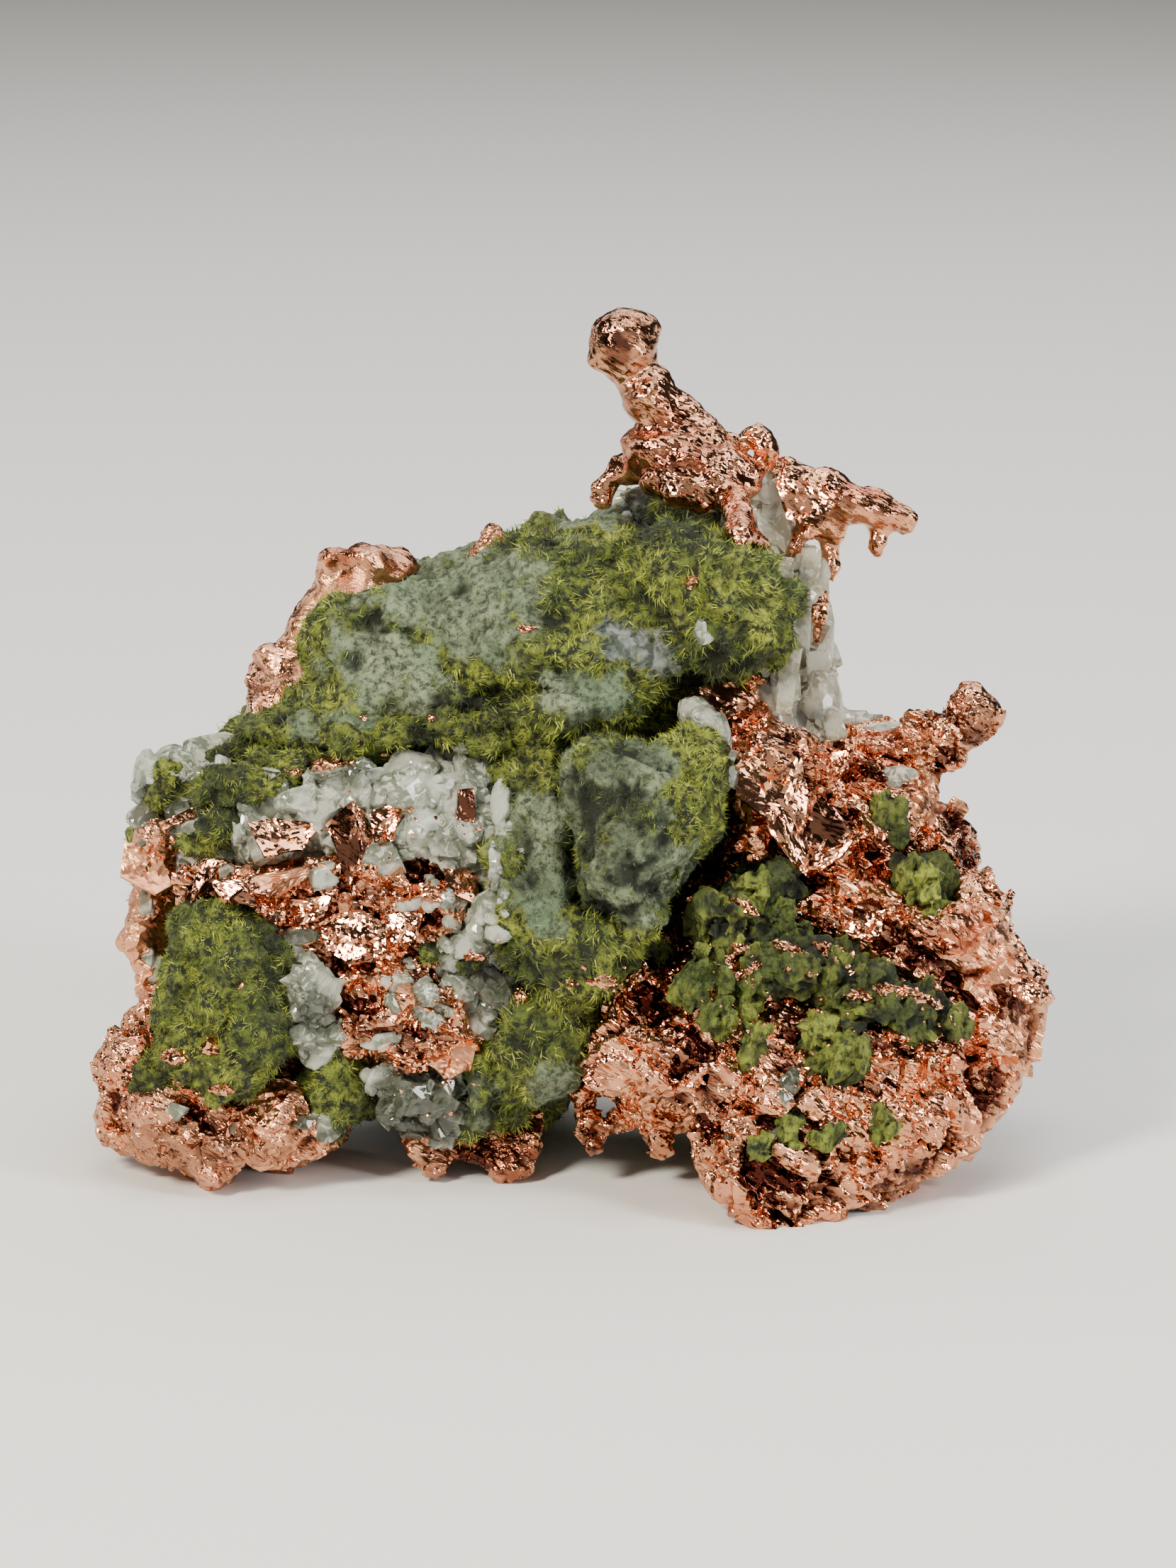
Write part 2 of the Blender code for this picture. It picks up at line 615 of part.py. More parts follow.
def make_quartz_shoulder(specimen, quartz):
    """The pale rounded shoulder at the far left."""
    bm = bmesh.new()
    add_lump(bm, -35.6, 37, -1, 3.4, 3.9, 4)
    add_lump(bm, -34.2, 33.8, -3, 3, 3, 3)
    add_lump(bm, -31, 38.2, 0, 4, 2.8, 5)
    obj = grow(specimen, "quartz_shoulder_left", bm, 150, 15, 0.7, 2, ((4.0, 0.8),))
    specimen.finish(obj, quartz)


def make_quartz_grains(specimen, quartz):
    """The glassy grains between the nodule and the right lobe."""
    bm = bmesh.new()
    add_lump(bm, 10.5, 40, -11.5, 1.9, 3.9, 3.2, -14)
    add_lump(bm, 9.7, 42.6, -11, 2.2, 1.6, 3, 30)
    obj = grow(specimen, "quartz_grain_centre", bm, 100, 16, 0.6, 2, ((3.0, 0.7),))
    specimen.finish(obj, quartz)


def make_copper_mass(specimen, copper):
    """The big hackly lobe at the right, with the foot it stands on."""
    bm = bmesh.new()
    lobe = [
        (22, 42), (28, 40), (29.3, 38), (29, 36.5), (29.6, 35), (31, 35), (32.2, 33.8),
        (32.5, 32), (33.2, 31.3), (32.6, 29.5), (34.5, 28), (35.8, 26.6), (35.4, 24.9),
        (37, 23.5), (38.3, 21.8), (39.2, 20.6), (39.1, 19.4), (37.9, 18.3), (38.2, 17),
        (37.9, 16), (36.8, 14.5), (36.3, 13), (35.5, 11), (34.3, 9), (33.6, 7.5),
        (32, 6), (30, 5), (29.2, 4.3), (27.5, 4), (26, 2.9), (24, 1.7), (21, 1),
        (18, 0.2), (16, -0.3), (14, 0), (12.8, 0.6), (12, 2), (11, 3), (10.2, 4.7),
        (9.3, 5.9), (9, 9), (8.2, 11), (4, 12.3), (-1, 12.6), (0, 16), (2.5, 17), (3, 20),
        (1, 21), (4, 22), (6.5, 22), (8, 25), (9.5, 28), (11.5, 31), (11.8, 34),
        (12.5, 36), (12.4, 39), (12, 42), (14, 43), (18, 42),
    ]
    rings = ((-6, 0.72), (-3.5, 0.92), (-1, 0.99), (0, 1), (5, 0.96), (9, 0.8))
    add_slab(bm, lobe, (-7.5, 0.3, 0.36), rings)
    add_lump(bm, 20, 12, -11, 9, 8, 6.5)
    add_lump(bm, 27, 22, -6, 8, 8, 6)
    fold = [
        (12.6, 31.5), (14, 30.2), (16.5, 32), (19, 35), (20.4, 39), (19, 42), (15.5, 42.6),
        (13, 40), (12.3, 36),
    ]
    add_slab(bm, fold, (-8.5, 0.25, 0.3), ((-3.5, 0.6), (-2, 0.9), (0, 1), (5, 0.9)))
    add_limb(bm, [(13, 41, -6, 2), (12, 43.4, -6.5, 1.8), (12.6, 45.8, -5.5, 1.2)])
    brow = [
        (18, 31.5, -9.4, 2.2), (23, 27.5, -9.6, 2.5), (29, 23.6, -9, 2.5), (35.4, 20.6, -7, 2.2),
    ]
    add_limb(bm, brow)
    obj = grow(specimen, "copper_mass_right", bm, 1560, 17, 0.9, 2, HACKLY)
    specimen.finish(obj, copper)


def make_back_sheet(specimen, copper):
    """The copper that breaks out again on the side away from the viewer."""
    bm = bmesh.new()
    sheet = [
        (-22, 20), (-26, 32), (-18, 44), (-6, 50), (6, 46), (11, 36), (4, 26), (-6, 20),
    ]
    add_slab(bm, sheet, (17.5, 0.1, 0), ((-2, 0.9), (1, 1), (3, 0.92), (4.2, 0.7)))
    obj = grow(specimen, "copper_sheet_back", bm, 300, 18, 0.9, 2, HACKLY)
    specimen.finish(obj, copper)


def make_back_quartz(specimen, quartz):
    """A quartz pod in the back of the rock."""
    bm = bmesh.new()
    add_lump(bm, 16, 33, 12, 7, 9, 6)
    add_lump(bm, 18, 26, 11, 5, 5, 5)
    obj = grow(specimen, "quartz_pod_back", bm, 150, 19, 0.9, 2, ((4.0, 1.0),))
    specimen.finish(obj, quartz)


def make_rock(specimen, epidote):
    """The epidote-rich rock that holds everything together."""
    bm = bmesh.new()
    body = [
        (-37, 33), (-35, 37.2), (-31.6, 39.8), (-28.6, 42), (-26, 46), (-23, 50.4),
        (-19.4, 53.4), (-15, 55.4), (-9, 56.4), (-4, 57.8), (0, 59.8), (3, 61.2),
        (7, 61.4), (11, 60.2), (14, 58.8), (16.4, 56.4), (17.4, 53), (17, 49.6),
        (14, 46.5), (11, 44), (12, 40), (20, 37.5), (24, 32),
        (26, 22), (22, 15), (12, 13), (4, 14), (-2, 12), (-5, 9.5), (-10, 8), (-14, 8.5),
        (-18, 10.5), (-24, 11), (-30, 13), (-35, 18), (-38, 26),
    ]
    rings = ((-4, 0.72), (-2, 0.93), (1, 1), (7, 1), (14, 0.85), (19, 0.6))
    add_slab(bm, body, (0, 0, 0.02), rings)
    for lump in (
        (9.8, 52.4, -8, 8, 6.4, 7), (-2, 50.6, -6, 12, 7, 8), (-15, 48.4, -3.5, 9, 5.8, 6.5),
        (-23.5, 40.6, -2.5, 6, 3, 6), (-12, 43, -7.5, 12, 2.8, 5),
        (-4.4, 31, -11, 3.8, 9.6, 6), (-0.6, 44, -12.5, 4.4, 2.5, 5),
        (0, 23, -11.5, 6, 4, 5), (-3.2, 31, -14, 2.6, 6.4, 3.5),
        (-4, 16, -8, 5, 5, 5), (-10, 12, -5, 6, 4, 5), (0, 36, 6, 24, 16, 13),
        (-20, 32, 4, 13, 10, 11), (18, 25, 3, 12, 11, 12), (5, 21, 4, 16, 8.5, 11),
        (-9, 16, 15, 8, 7.5, 6), (19, 15.5, 12, 9, 7, 7),
    ):
        add_lump(bm, *lump)
    obj = grow(specimen, "green_matrix_rock", bm, 2150, 20, 1.1, 2, ROCKY)
    specimen.finish(obj, epidote)


def main():
    clear_scene()
    specimen = Specimen()
    copper = mineral("copper", COPPER, 0.3, 1.0)
    epidote = mineral("epidote", EPIDOTE, 0.8, 0.0)
    nodule = mineral("nodule", NODULE_GREEN, 0.7, 0.0)
    quartz = mineral("quartz", QUARTZ, 0.25, 0.0)
    calcite = mineral("calcite", CALCITE, 0.3, 0.0)
    # What stands out is made first, and what holds it is fitted round it.
    make_copper_crown(specimen, copper)
    make_copper_hook(specimen, copper)
    make_copper_arm(specimen, copper)
    make_green_nodule(specimen, nodule)
    make_epidote_patch(specimen, epidote)
    make_epidote_tuft(specimen, epidote)
    make_epidote_vein(specimen, epidote)
    make_epidote_tablet(specimen, epidote)
    make_copper_plate_left(specimen, copper)
    make_copper_sheet_centre(specimen, copper)
    make_copper_bridge(specimen, copper)
    make_copper_flap(specimen, copper)
    make_copper_ridge(specimen, copper)
    make_copper_fin(specimen, copper)
    make_quartz_grains(specimen, quartz)
    make_calcite(specimen, calcite)
    make_copper_mass(specimen, copper)
    make_quartz_mass(specimen, quartz)
    make_quartz_shoulder(specimen, quartz)
    make_back_sheet(specimen, copper)
    make_back_quartz(specimen, quartz)
    make_rock(specimen, epidote)


main()
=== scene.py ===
"""Dresses the native copper specimen: crumpled copper, mossy epidote rock, milky quartz."""

import json
import math

import bpy
import numpy as np
from bpy.props import FloatProperty, FloatVectorProperty, IntProperty, PointerProperty
from mathutils import Euler, Matrix, Vector, noise
from mathutils.bvhtree import BVHTree

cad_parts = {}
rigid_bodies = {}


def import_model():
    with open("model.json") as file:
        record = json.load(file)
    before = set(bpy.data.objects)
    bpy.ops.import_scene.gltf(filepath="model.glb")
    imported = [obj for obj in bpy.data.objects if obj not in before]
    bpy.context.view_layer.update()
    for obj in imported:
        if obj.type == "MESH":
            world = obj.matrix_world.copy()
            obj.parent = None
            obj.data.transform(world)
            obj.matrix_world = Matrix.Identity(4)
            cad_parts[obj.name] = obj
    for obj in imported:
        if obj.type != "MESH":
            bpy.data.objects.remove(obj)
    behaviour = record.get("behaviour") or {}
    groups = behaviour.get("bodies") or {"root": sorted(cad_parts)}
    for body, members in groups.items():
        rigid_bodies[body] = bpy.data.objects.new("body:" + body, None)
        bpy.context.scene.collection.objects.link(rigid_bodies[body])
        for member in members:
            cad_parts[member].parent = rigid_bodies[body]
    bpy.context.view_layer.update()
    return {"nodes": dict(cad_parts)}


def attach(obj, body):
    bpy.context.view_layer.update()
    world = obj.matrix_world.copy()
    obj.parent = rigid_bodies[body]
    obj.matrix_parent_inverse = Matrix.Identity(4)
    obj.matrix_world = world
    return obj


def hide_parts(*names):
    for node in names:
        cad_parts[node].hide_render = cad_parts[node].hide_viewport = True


bl_info = {
    "name": "Native Copper Specimen",
    "version": (1, 0, 0),
    "blender": (4, 5, 0),
    "location": "View3D > Sidebar > Specimen",
    "description": "Grows copper, epidote, quartz and calcite surfaces on the specimen's solids",
    "category": "Object",
}

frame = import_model()

MM = 0.001

# The grown surfaces, which later pieces are set into.
SURFACES = bpy.data.collections.new("surfaces")
bpy.context.scene.collection.children.link(SURFACES)

# The photograph's view: it looks down a little, and its middle is at SIGHT_V. Places in it
# are given in mm as u to the right and v up from the foot.
VIEW_ELEVATION = math.radians(14.0)
VIEW_DISTANCE = 550.0
FRAME_HEIGHT = 132.7
SIGHT_V = 37.4
AIM = np.array((1.1, 1.5, 30.9))
RIGHT = np.array((1.0, 0.0, 0.0))
UPWARD = np.array((0.0, math.sin(VIEW_ELEVATION), math.cos(VIEW_ELEVATION)))
AWAY = np.array((0.0, math.cos(VIEW_ELEVATION), -math.sin(VIEW_ELEVATION)))

# The copper's crumples run down to the right at this angle.
GRAIN = math.radians(32.0)


def linear(code):
    """The linear colour of an sRGB hex code."""
    parts = [int(code[i : i + 2], 16) / 255 for i in (1, 3, 5)]
    return tuple(p / 12.92 if p <= 0.04045 else ((p + 0.055) / 1.055) ** 2.4 for p in parts)


def tint(name, description, code):
    return FloatVectorProperty(
        name=name,
        description=description,
        subtype="COLOR",
        size=3,
        min=0,
        max=1,
        default=linear(code),
    )


def length(name, description, size):
    return FloatProperty(name=name, description=description, default=size * MM, unit="LENGTH")


class CopperSettings(bpy.types.PropertyGroup):
    """Sizes and colours of the copper."""

    bright: tint("Bright", "Clean copper on the high spots", "#E3A27A")
    # ruddy is a red oxide film, and in the ruddy spots also painted red inter-reflection in the hollows.
    ruddy: tint("Ruddy", "Copper with a red oxide film", "#AE5E40")
    # dark is the oxide colour, and also the painted shade in the folds and hollows.
    dark: tint("Dark", "Oxide in the folds", "#4A2219")
    facet: length("Facet", "Width of a crumple", 1.6)
    depth: length("Depth", "Height of a crumple", 0.8)
    leaf: length("Leaf", "Thickness of a leaf", 0.3)


class GreenSettings(bpy.types.PropertyGroup):
    """Sizes and colours of the green rock and its needles."""

    light: tint("Light", "Fresh epidote", "#9FA83A")
    middle: tint("Middle", "Epidote in the mass", "#586622")
    deep: tint("Deep", "Shaded roots of the tufts", "#131A06")
    crust: tint("Crust", "Grey-green pumpellyite crust", "#8D9877")
    shade: tint("Shade", "Wrinkles of the crust", "#333D28")
    teal: tint("Teal", "Copper-stained crust", "#627858")
    needle: length("Needle", "Length of an epidote needle", 0.85)
    count: IntProperty(name="Needles", description="Needles on the rock", default=62000, max=66000)


class QuartzSettings(bpy.types.PropertyGroup):
    """Colours of the quartz and the calcite."""

    milky: tint("Milky", "Milky quartz", "#EDF0DE")
    clear: tint("Clear", "Glassy quartz", "#8D9480")
    # dull is quartz full of green specks, and also painted shade on quartz in shadow.
    dull: tint("Dull", "Quartz full of green specks", "#3A412C")
    calcite: tint("Calcite", "Cloudy calcite", "#E2DDC8")
    stained: tint("Stained", "Stained calcite", "#B4AB90")


def only(obj):
    """Makes obj the one object that an operator acts on."""
    bpy.ops.object.select_all(action="DESELECT")
    obj.select_set(True)
    bpy.context.view_layer.objects.active = obj


def modify(obj, kind, **settings):
    """Adds a modifier and applies it."""
    only(obj)
    modifier = obj.modifiers.new(kind.title(), kind)
    for key, value in settings.items():
        setattr(modifier, key, value)
    bpy.ops.object.modifier_apply(modifier=modifier.name)


def smooth_shaded(obj):
    only(obj)
    bpy.ops.object.shade_smooth()


def bare_copy(node, voxel):
    """A CAD node's copy, its loose triangles joined, rebuilt from voxels to grow a surface on."""
    obj = bpy.data.objects.new(f"{node}_surface", frame["nodes"][node].data.copy())
    SURFACES.objects.link(obj)
    obj.data.materials.clear()
    modify(obj, "WELD", merge_threshold=0.00001)
    modify(obj, "REMESH", mode="VOXEL", voxel_size=voxel * MM)
    return obj


def new_piece(name, points, faces):
    mesh = bpy.data.meshes.new(name)
    mesh.from_pydata(np.asarray(points).tolist(), [], [list(map(int, face)) for face in faces])
    mesh.update()
    obj = bpy.data.objects.new(name, mesh)
    SURFACES.objects.link(obj)
    return obj


def points_of(obj):
    values = np.empty(len(obj.data.vertices) * 3)
    obj.data.vertices.foreach_get("co", values)
    return values.reshape(-1, 3)


def normals_of(obj):
    values = np.empty(len(obj.data.vertices) * 3)
    obj.data.vertices.foreach_get("normal", values)
    return values.reshape(-1, 3)


def keep_value(obj, name, values):
    """Stores one number a point, for the material."""
    attributes = obj.data.attributes
    attribute = attributes.get(name) or attributes.new(name, "FLOAT", "POINT")
    attribute.data.foreach_set("value", np.asarray(values, dtype=np.float32))


def kept_value(obj, name):
    """The numbers stored under a name, or noughts."""
    values = np.zeros(len(obj.data.vertices), dtype=np.float32)
    if name in obj.data.attributes:
        obj.data.attributes[name].data.foreach_get("value", values)
    return values


def seen(points):
    """Where points show in the photograph's view: u, v and depth, in mm."""
    rel = points / MM - AIM
    depth = rel @ AWAY
    spread = 1 + depth / VIEW_DISTANCE
    return rel @ RIGHT / spread, SIGHT_V + rel @ UPWARD / spread, depth


def at(u, v, depth):
    """The place that shows at u, v, this deep in the view."""
    spread = 1 + depth / VIEW_DISTANCE
    return (AIM + RIGHT * u * spread + UPWARD * (v - SIGHT_V) * spread + AWAY * depth) * MM


class Front:
    """Finds how deep the grown surfaces lie behind a place in the view."""

    def __init__(self):
        depsgraph = bpy.context.evaluated_depsgraph_get()
        self.trees = [BVHTree.FromObject(obj, depsgraph) for obj in SURFACES.objects]

    def depth(self, u, v):
        eye = Vector((AIM - AWAY * VIEW_DISTANCE) * MM)
        aim = (Vector(at(u, v, 0)) - eye).normalized()
        hits = [tree.ray_cast(eye, aim)[0] for tree in self.trees]
        deeps = [(Vector(hit) / MM - Vector(AIM)).dot(Vector(AWAY)) for hit in hits if hit]
        return min(deeps) if deeps else None


def zone(points, spots, ragged=0.35, spacing=3.0, deepest=8.0):
    """How far points are inside any spot (u, v, half width, half height), from 0 to 1."""
    u, v, depth = seen(points)
    inside = np.full(len(points), -9.0)
    for mid_u, mid_v, half_u, half_v in spots:
        inside = np.maximum(inside, 1 - np.hypot((u - mid_u) / half_u, (v - mid_v) / half_v))
    for i in np.nonzero(inside > -1.5)[0]:
        inside[i] += noise.fractal(Vector(points[i]) / (spacing * MM), 0.7, 2.3, 4) * ragged
    inside[depth > deepest] = -1
    return np.clip(inside * 4 + 0.5, 0, 1)


def hills(where):
    return noise.noise(where)


def creases(where):
    return 0.5 - 2 * abs(noise.noise(where))


def ridges(where):
    return noise.ridged_multi_fractal(where, 0.9, 2.2, 3, 1.0, 2.0) - 1.1


def cushions(where):
    return 0.55 - noise.voronoi(where)[0][0]


def facets(where):
    """A plane for each cell, tilted its own way, as on hackly metal or broken crystal."""
    cell = noise.voronoi(where)[1][0]
    tilt = noise.cell_vector(cell * 91.7) - Vector((0.5, 0.5, 0.5))
    return (where - cell).dot(tilt) * 2


def pits(where):
    return min(0.0, noise.voronoi(where)[0][0] - 0.33) * 3


def cracks(where):
    return min(0.0, 6 * abs(noise.noise(where)) - 0.7)


def sculpt(obj, layers, grow=0.0, calm=None, seed=0):
    """Moves the points along their normals, and keeps them above the floor.

    A layer is (form, spacing, height, stretch), in mm.
    """
    points = points_of(obj)
    normals = normals_of(obj)
    shift = Vector((seed * 13.7, seed * 7.9, seed * 3.1))
    height = np.zeros(len(points))
    turn = Euler((0, -GRAIN, 0)).to_matrix()
    for form, spacing, tall, stretch in layers:
        shape = Matrix.Diagonal((1 / stretch, 1, 1)) @ turn
        for i, point in enumerate(points):
            height[i] += form(shape @ Vector(point) / (spacing * MM) + shift) * tall
    if calm is not None:
        height *= 1 - calm
    points += normals * ((height + grow) * MM)[:, None]
    points[:, 2] = np.maximum(points[:, 2], 0.02 * MM)
    obj.data.vertices.foreach_set("co", points.ravel())
    obj.data.update()
    keep_value(obj, "height", kept_value(obj, "height") + height)


def sink(obj, dents, ragged=0.3):
    """Pushes the surface away from the viewer. A dent is (u, v, half width, half height, mm)."""
    points = points_of(obj)
    for u, v, half_u, half_v, deep in dents:
        amount = zone(points, ((u, v, half_u, half_v),), ragged, 1.5, 12.0)
        points += AWAY * (amount * deep * MM)[:, None]
    obj.data.vertices.foreach_set("co", points.ravel())
    obj.data.update()


def swell(obj, u, v, radius):
    """Rounds the surface at a place in the view into a knob of this radius, in mm."""
    points = points_of(obj)
    across, up, _ = seen(points)
    middle = points[np.hypot(across - u, up - v) < radius].mean(axis=0)
    out = points - middle
    reach = np.linalg.norm(out, axis=1)
    pull = np.clip((1.6 - reach / (radius * MM)) / 0.4, 0, 1)
    points += out * (0.45 * pull * (radius * MM / np.maximum(reach, 1e-6) - 1))[:, None]
    obj.data.vertices.foreach_set("co", points.ravel())
    obj.data.update()


def waver(obj, spacing, tall):
    """Bends the surface to and fro along the line of sight, so no edge runs straight."""
    points = points_of(obj)
    bend = np.array([noise.noise(Vector(point) / (spacing * MM)) for point in points])
    points += AWAY * (bend * tall * MM)[:, None]
    obj.data.vertices.foreach_set("co", points.ravel())
    obj.data.update()


def settle(obj, material, node=None):
    """Gives a finished piece its material, body and slot, and the CAD node's place."""
    obj.data.materials.append(material)
    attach(obj, "root")
    if node:
        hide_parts(node)


def unit_ball(cuts):
    """Points and faces of a ball of radius 1, modelled once for all the lumps of a piece."""
    bpy.ops.object.select_all(action="DESELECT")
    bpy.ops.mesh.primitive_ico_sphere_add(subdivisions=cuts, radius=1, location=(0, 0, 0))
    ball = bpy.context.object
    points = points_of(ball)
    faces = np.array([list(face.vertices) for face in ball.data.polygons])
    bpy.data.objects.remove(ball)
    return points, faces


def lumps(name, spots, seed, cuts, planes, sunk=0.45, thick=0.9, blocky=False):
    """Broken lumps, half buried in the surface.

    A spot is (u, v, half width, half height, turn, thickness). Each lump is a ball cut by
    planes, so it has flat breaks and sharp edges. A blocky one has upright sides and a top.
    """
    rng = np.random.default_rng(seed)
    front = Front()
    ball, ball_faces = unit_ball(cuts)
    points = []
    faces = []
    for spot in spots:
        u, v, half_u, half_v = spot[:4]
        turn = math.radians(spot[4] if len(spot) > 4 else 0)
        depth = front.depth(u, v)
        if depth is None:
            continue
        cut = rng.normal(size=(planes, 3))
        cut /= np.linalg.norm(cut, axis=1)[:, None]
        away = rng.uniform(0.6, 0.95, planes)
        if blocky:
            sides = rng.normal(0, 0.12, (5, 3)) + ((1, 0, 0), (-1, 0, 0), (0, 1, 0), (0, -1, 0), (0, 0, 1))
            cut = np.concatenate((cut, sides))
            away = np.concatenate((away, rng.uniform(0.55, 0.7, 5)))
        reach = np.max(np.maximum(ball @ cut.T, 0.01) / away, axis=1)
        body = ball / np.maximum(reach, 0.62 if blocky else 0.87)[:, None]
        half_d = min(half_u, half_v) * (spot[5] if len(spot) > 5 else thick)
        x = body[:, 0] * half_u
        y = body[:, 2] * half_v
        z = body[:, 1] * half_d
        across = x * math.cos(turn) - y * math.sin(turn)
        up = x * math.sin(turn) + y * math.cos(turn)
        middle = at(u, v, depth + sunk * half_d)
        offset = RIGHT * across[:, None] + UPWARD * up[:, None] + AWAY * z[:, None]
        faces.append(ball_faces + len(points) * len(ball))
        points.append(middle + offset * MM)
    points = np.concatenate(points)
    points[:, 2] = np.maximum(points[:, 2], 0.02 * MM)
    return new_piece(name, points, np.concatenate(faces))


def strewn(areas, count, small, large, seed):
    """Random spots in the areas (u, v, half width, half height)."""
    rng = np.random.default_rng(seed)
    sizes = np.array([area[2] * area[3] for area in areas])
    spots = []
    for area in rng.choice(len(areas), count, p=sizes / sizes.sum()):
        u, v, half_u, half_v = areas[area]
        angle = rng.uniform(0, 2 * math.pi)
        out = math.sqrt(rng.uniform())
        size = rng.uniform(small, large)
        spots.append(
            (
                u + half_u * out * math.cos(angle),
                v + half_v * out * math.sin(angle),
                size * rng.uniform(0.8, 1.5),
                size * rng.uniform(0.8, 1.3),
                rng.uniform(0, 180),
            )
        )
    return spots


def add(tree, kind, links=None, stops=(), **settings):
    """Adds a shader node with its settings, inputs and ramp stops. An input may be a socket."""
    node = tree.nodes.new(kind)
    for key, value in settings.items():
        setattr(node, key, value)
    for key, value in (links or {}).items():
        socket = node.inputs[key]
        if isinstance(value, bpy.types.NodeSocket):
            tree.links.new(value, socket)
        elif socket.type == "RGBA":
            socket.default_value = (*value, 1)
        else:
            socket.default_value = value
    for i, (position, colour) in enumerate(stops):
        elements = node.color_ramp.elements
        element = elements[i] if i < 2 else elements.new(position)
        element.position = position
        element.color = (*colour, 1)
    return node


def new_material(name):
    """An empty material with its Principled shader and object coordinates."""
    material = bpy.data.materials.new(name)
    material.use_nodes = True
    tree = material.node_tree
    place = add(tree, "ShaderNodeTexCoord").outputs["Object"]
    return material, tree, tree.nodes["Principled BSDF"], place


BLACK = (0.0, 0.0, 0.0)
WHITE = (1.0, 1.0, 1.0)


def glinting(tree, place, spacing, stretch, tilt):
    """Normals that lean a different way in each small cell, so that each cell glints alone."""
    moved = add(
        tree,
        "ShaderNodeMapping",
        {"Vector": place, "Rotation": (0, GRAIN, 0), "Scale": (stretch, 1, 1)},
        vector_type="TEXTURE",
    )
    cells = add(
        tree, "ShaderNodeTexVoronoi", {"Vector": moved.outputs[0], "Scale": 1 / (spacing * MM)}
    )
    centred = add(
        tree,
        "ShaderNodeVectorMath",
        {0: cells.outputs["Color"], 1: (0.5, 0.5, 0.5)},
        operation="SUBTRACT",
    )
    lean = add(
        tree, "ShaderNodeVectorMath", {0: centred.outputs[0], "Scale": tilt}, operation="SCALE"
    )
    plain = add(tree, "ShaderNodeNewGeometry").outputs["Normal"]
    leaning = add(tree, "ShaderNodeVectorMath", {0: plain, 1: lean.outputs[0]}, operation="ADD")
    unit = add(tree, "ShaderNodeVectorMath", {0: leaning.outputs[0]}, operation="NORMALIZE")
    return unit.outputs[0]


def native_copper(name, settings, stretch, tilt, rough, striae):
    """Native copper: bright where it is clean, red oxide in between, and dark in the folds, where oxide and painted
    shade lie.

    The eye gets mirror facets a third of a millimetre wide, drawn out along the grain, and a
    satin where the metal is worn.
    """
    material, tree, shader, place = new_material(name)
    satin = add(tree, "ShaderNodeAttribute", attribute_name="satin").outputs["Fac"]
    film = add(
        tree, "ShaderNodeTexNoise", {"Vector": place, "Scale": 1 / (4 * MM), "Detail": 4.0}
    )
    film = add(
        tree,
        "ShaderNodeValToRGB",
        {0: film.outputs["Fac"]},
        stops=[(0.45, BLACK), (0.7, (0.45, 0.45, 0.45))],
    )
    colour = add(
        tree,
        "ShaderNodeMix",
        {0: film.outputs[0], 6: settings.bright, 7: settings.ruddy},
        data_type="RGBA",
    )
    # Ruddy spots: partly red oxide, partly painted red inter-reflection and shade in the hollows.
    ruddy = add(tree, "ShaderNodeAttribute", attribute_name="ruddy").outputs["Fac"]
    colour = add(
        tree,
        "ShaderNodeMix",
        {0: ruddy, 6: colour.outputs[2], 7: settings.ruddy},
        data_type="RGBA",
    )
    height = add(tree, "ShaderNodeAttribute", attribute_name="height").outputs["Fac"]
    # Painted shade: the lower a point lies in the crumples, the more it takes the dark colour.
    painted_shade = add(tree, "ShaderNodeMath", {0: height, 1: -1.8}, operation="MULTIPLY", use_clamp=True)
    colour = add(
        tree,
        "ShaderNodeMix",
        {0: painted_shade.outputs[0], 6: colour.outputs[2], 7: settings.dark},
        data_type="RGBA",
    )
    # Dark spots: partly dark oxide, partly painted shade in hollows and under overhangs.
    tarnish_and_shade = add(tree, "ShaderNodeAttribute", attribute_name="tarnish_and_shade").outputs["Fac"]
    colour = add(
        tree,
        "ShaderNodeMix",
        {0: tarnish_and_shade, 6: colour.outputs[2], 7: settings.dark},
        data_type="RGBA",
    )
    tree.links.new(colour.outputs[2], shader.inputs["Base Color"])
    shader.inputs["Metallic"].default_value = 1.0
    grit = add(
        tree, "ShaderNodeTexNoise", {"Vector": place, "Scale": 1 / (0.6 * MM), "Detail": 2.0}
    )
    dull = (rough * 1.5,) * 3
    gloss = add(
        tree,
        "ShaderNodeValToRGB",
        {0: grit.outputs["Fac"]},
        stops=[(0.35, (rough * 0.6,) * 3), (0.7, dull)],
    )
    gloss = add(
        tree,
        "ShaderNodeMath",
        {0: satin, 1: 0.2, 2: gloss.outputs[0]},
        operation="MULTIPLY_ADD",
    )
    tree.links.new(gloss.outputs[0], shader.inputs["Roughness"])
    sleek = add(tree, "ShaderNodeAttribute", attribute_name="sleek").outputs["Fac"]
    even = add(tree, "ShaderNodeMath", {0: satin, 1: sleek}, operation="MAXIMUM")
    lean = add(
        tree,
        "ShaderNodeMath",
        {0: even.outputs[0], 1: -0.65 * tilt, 2: tilt},
        operation="MULTIPLY_ADD",
    )
    glints = glinting(tree, place, 0.34, stretch, lean.outputs[0])
    along = add(
        tree,
        "ShaderNodeMapping",
        {"Vector": place, "Rotation": (0, GRAIN, 0), "Scale": (5, 1, 1)},
        vector_type="TEXTURE",
    )
    scratches = add(
        tree,
        "ShaderNodeTexNoise",
        {"Vector": along.outputs[0], "Scale": 1 / (0.35 * MM), "Detail": 3.0},
    )
    bump = add(
        tree,
        "ShaderNodeBump",
        {
            "Strength": 0.8,
            "Distance": striae * MM,
            "Height": scratches.outputs["Fac"],
            "Normal": glints,
        },
    )
    tree.links.new(bump.outputs[0], shader.inputs["Normal"])
    return material


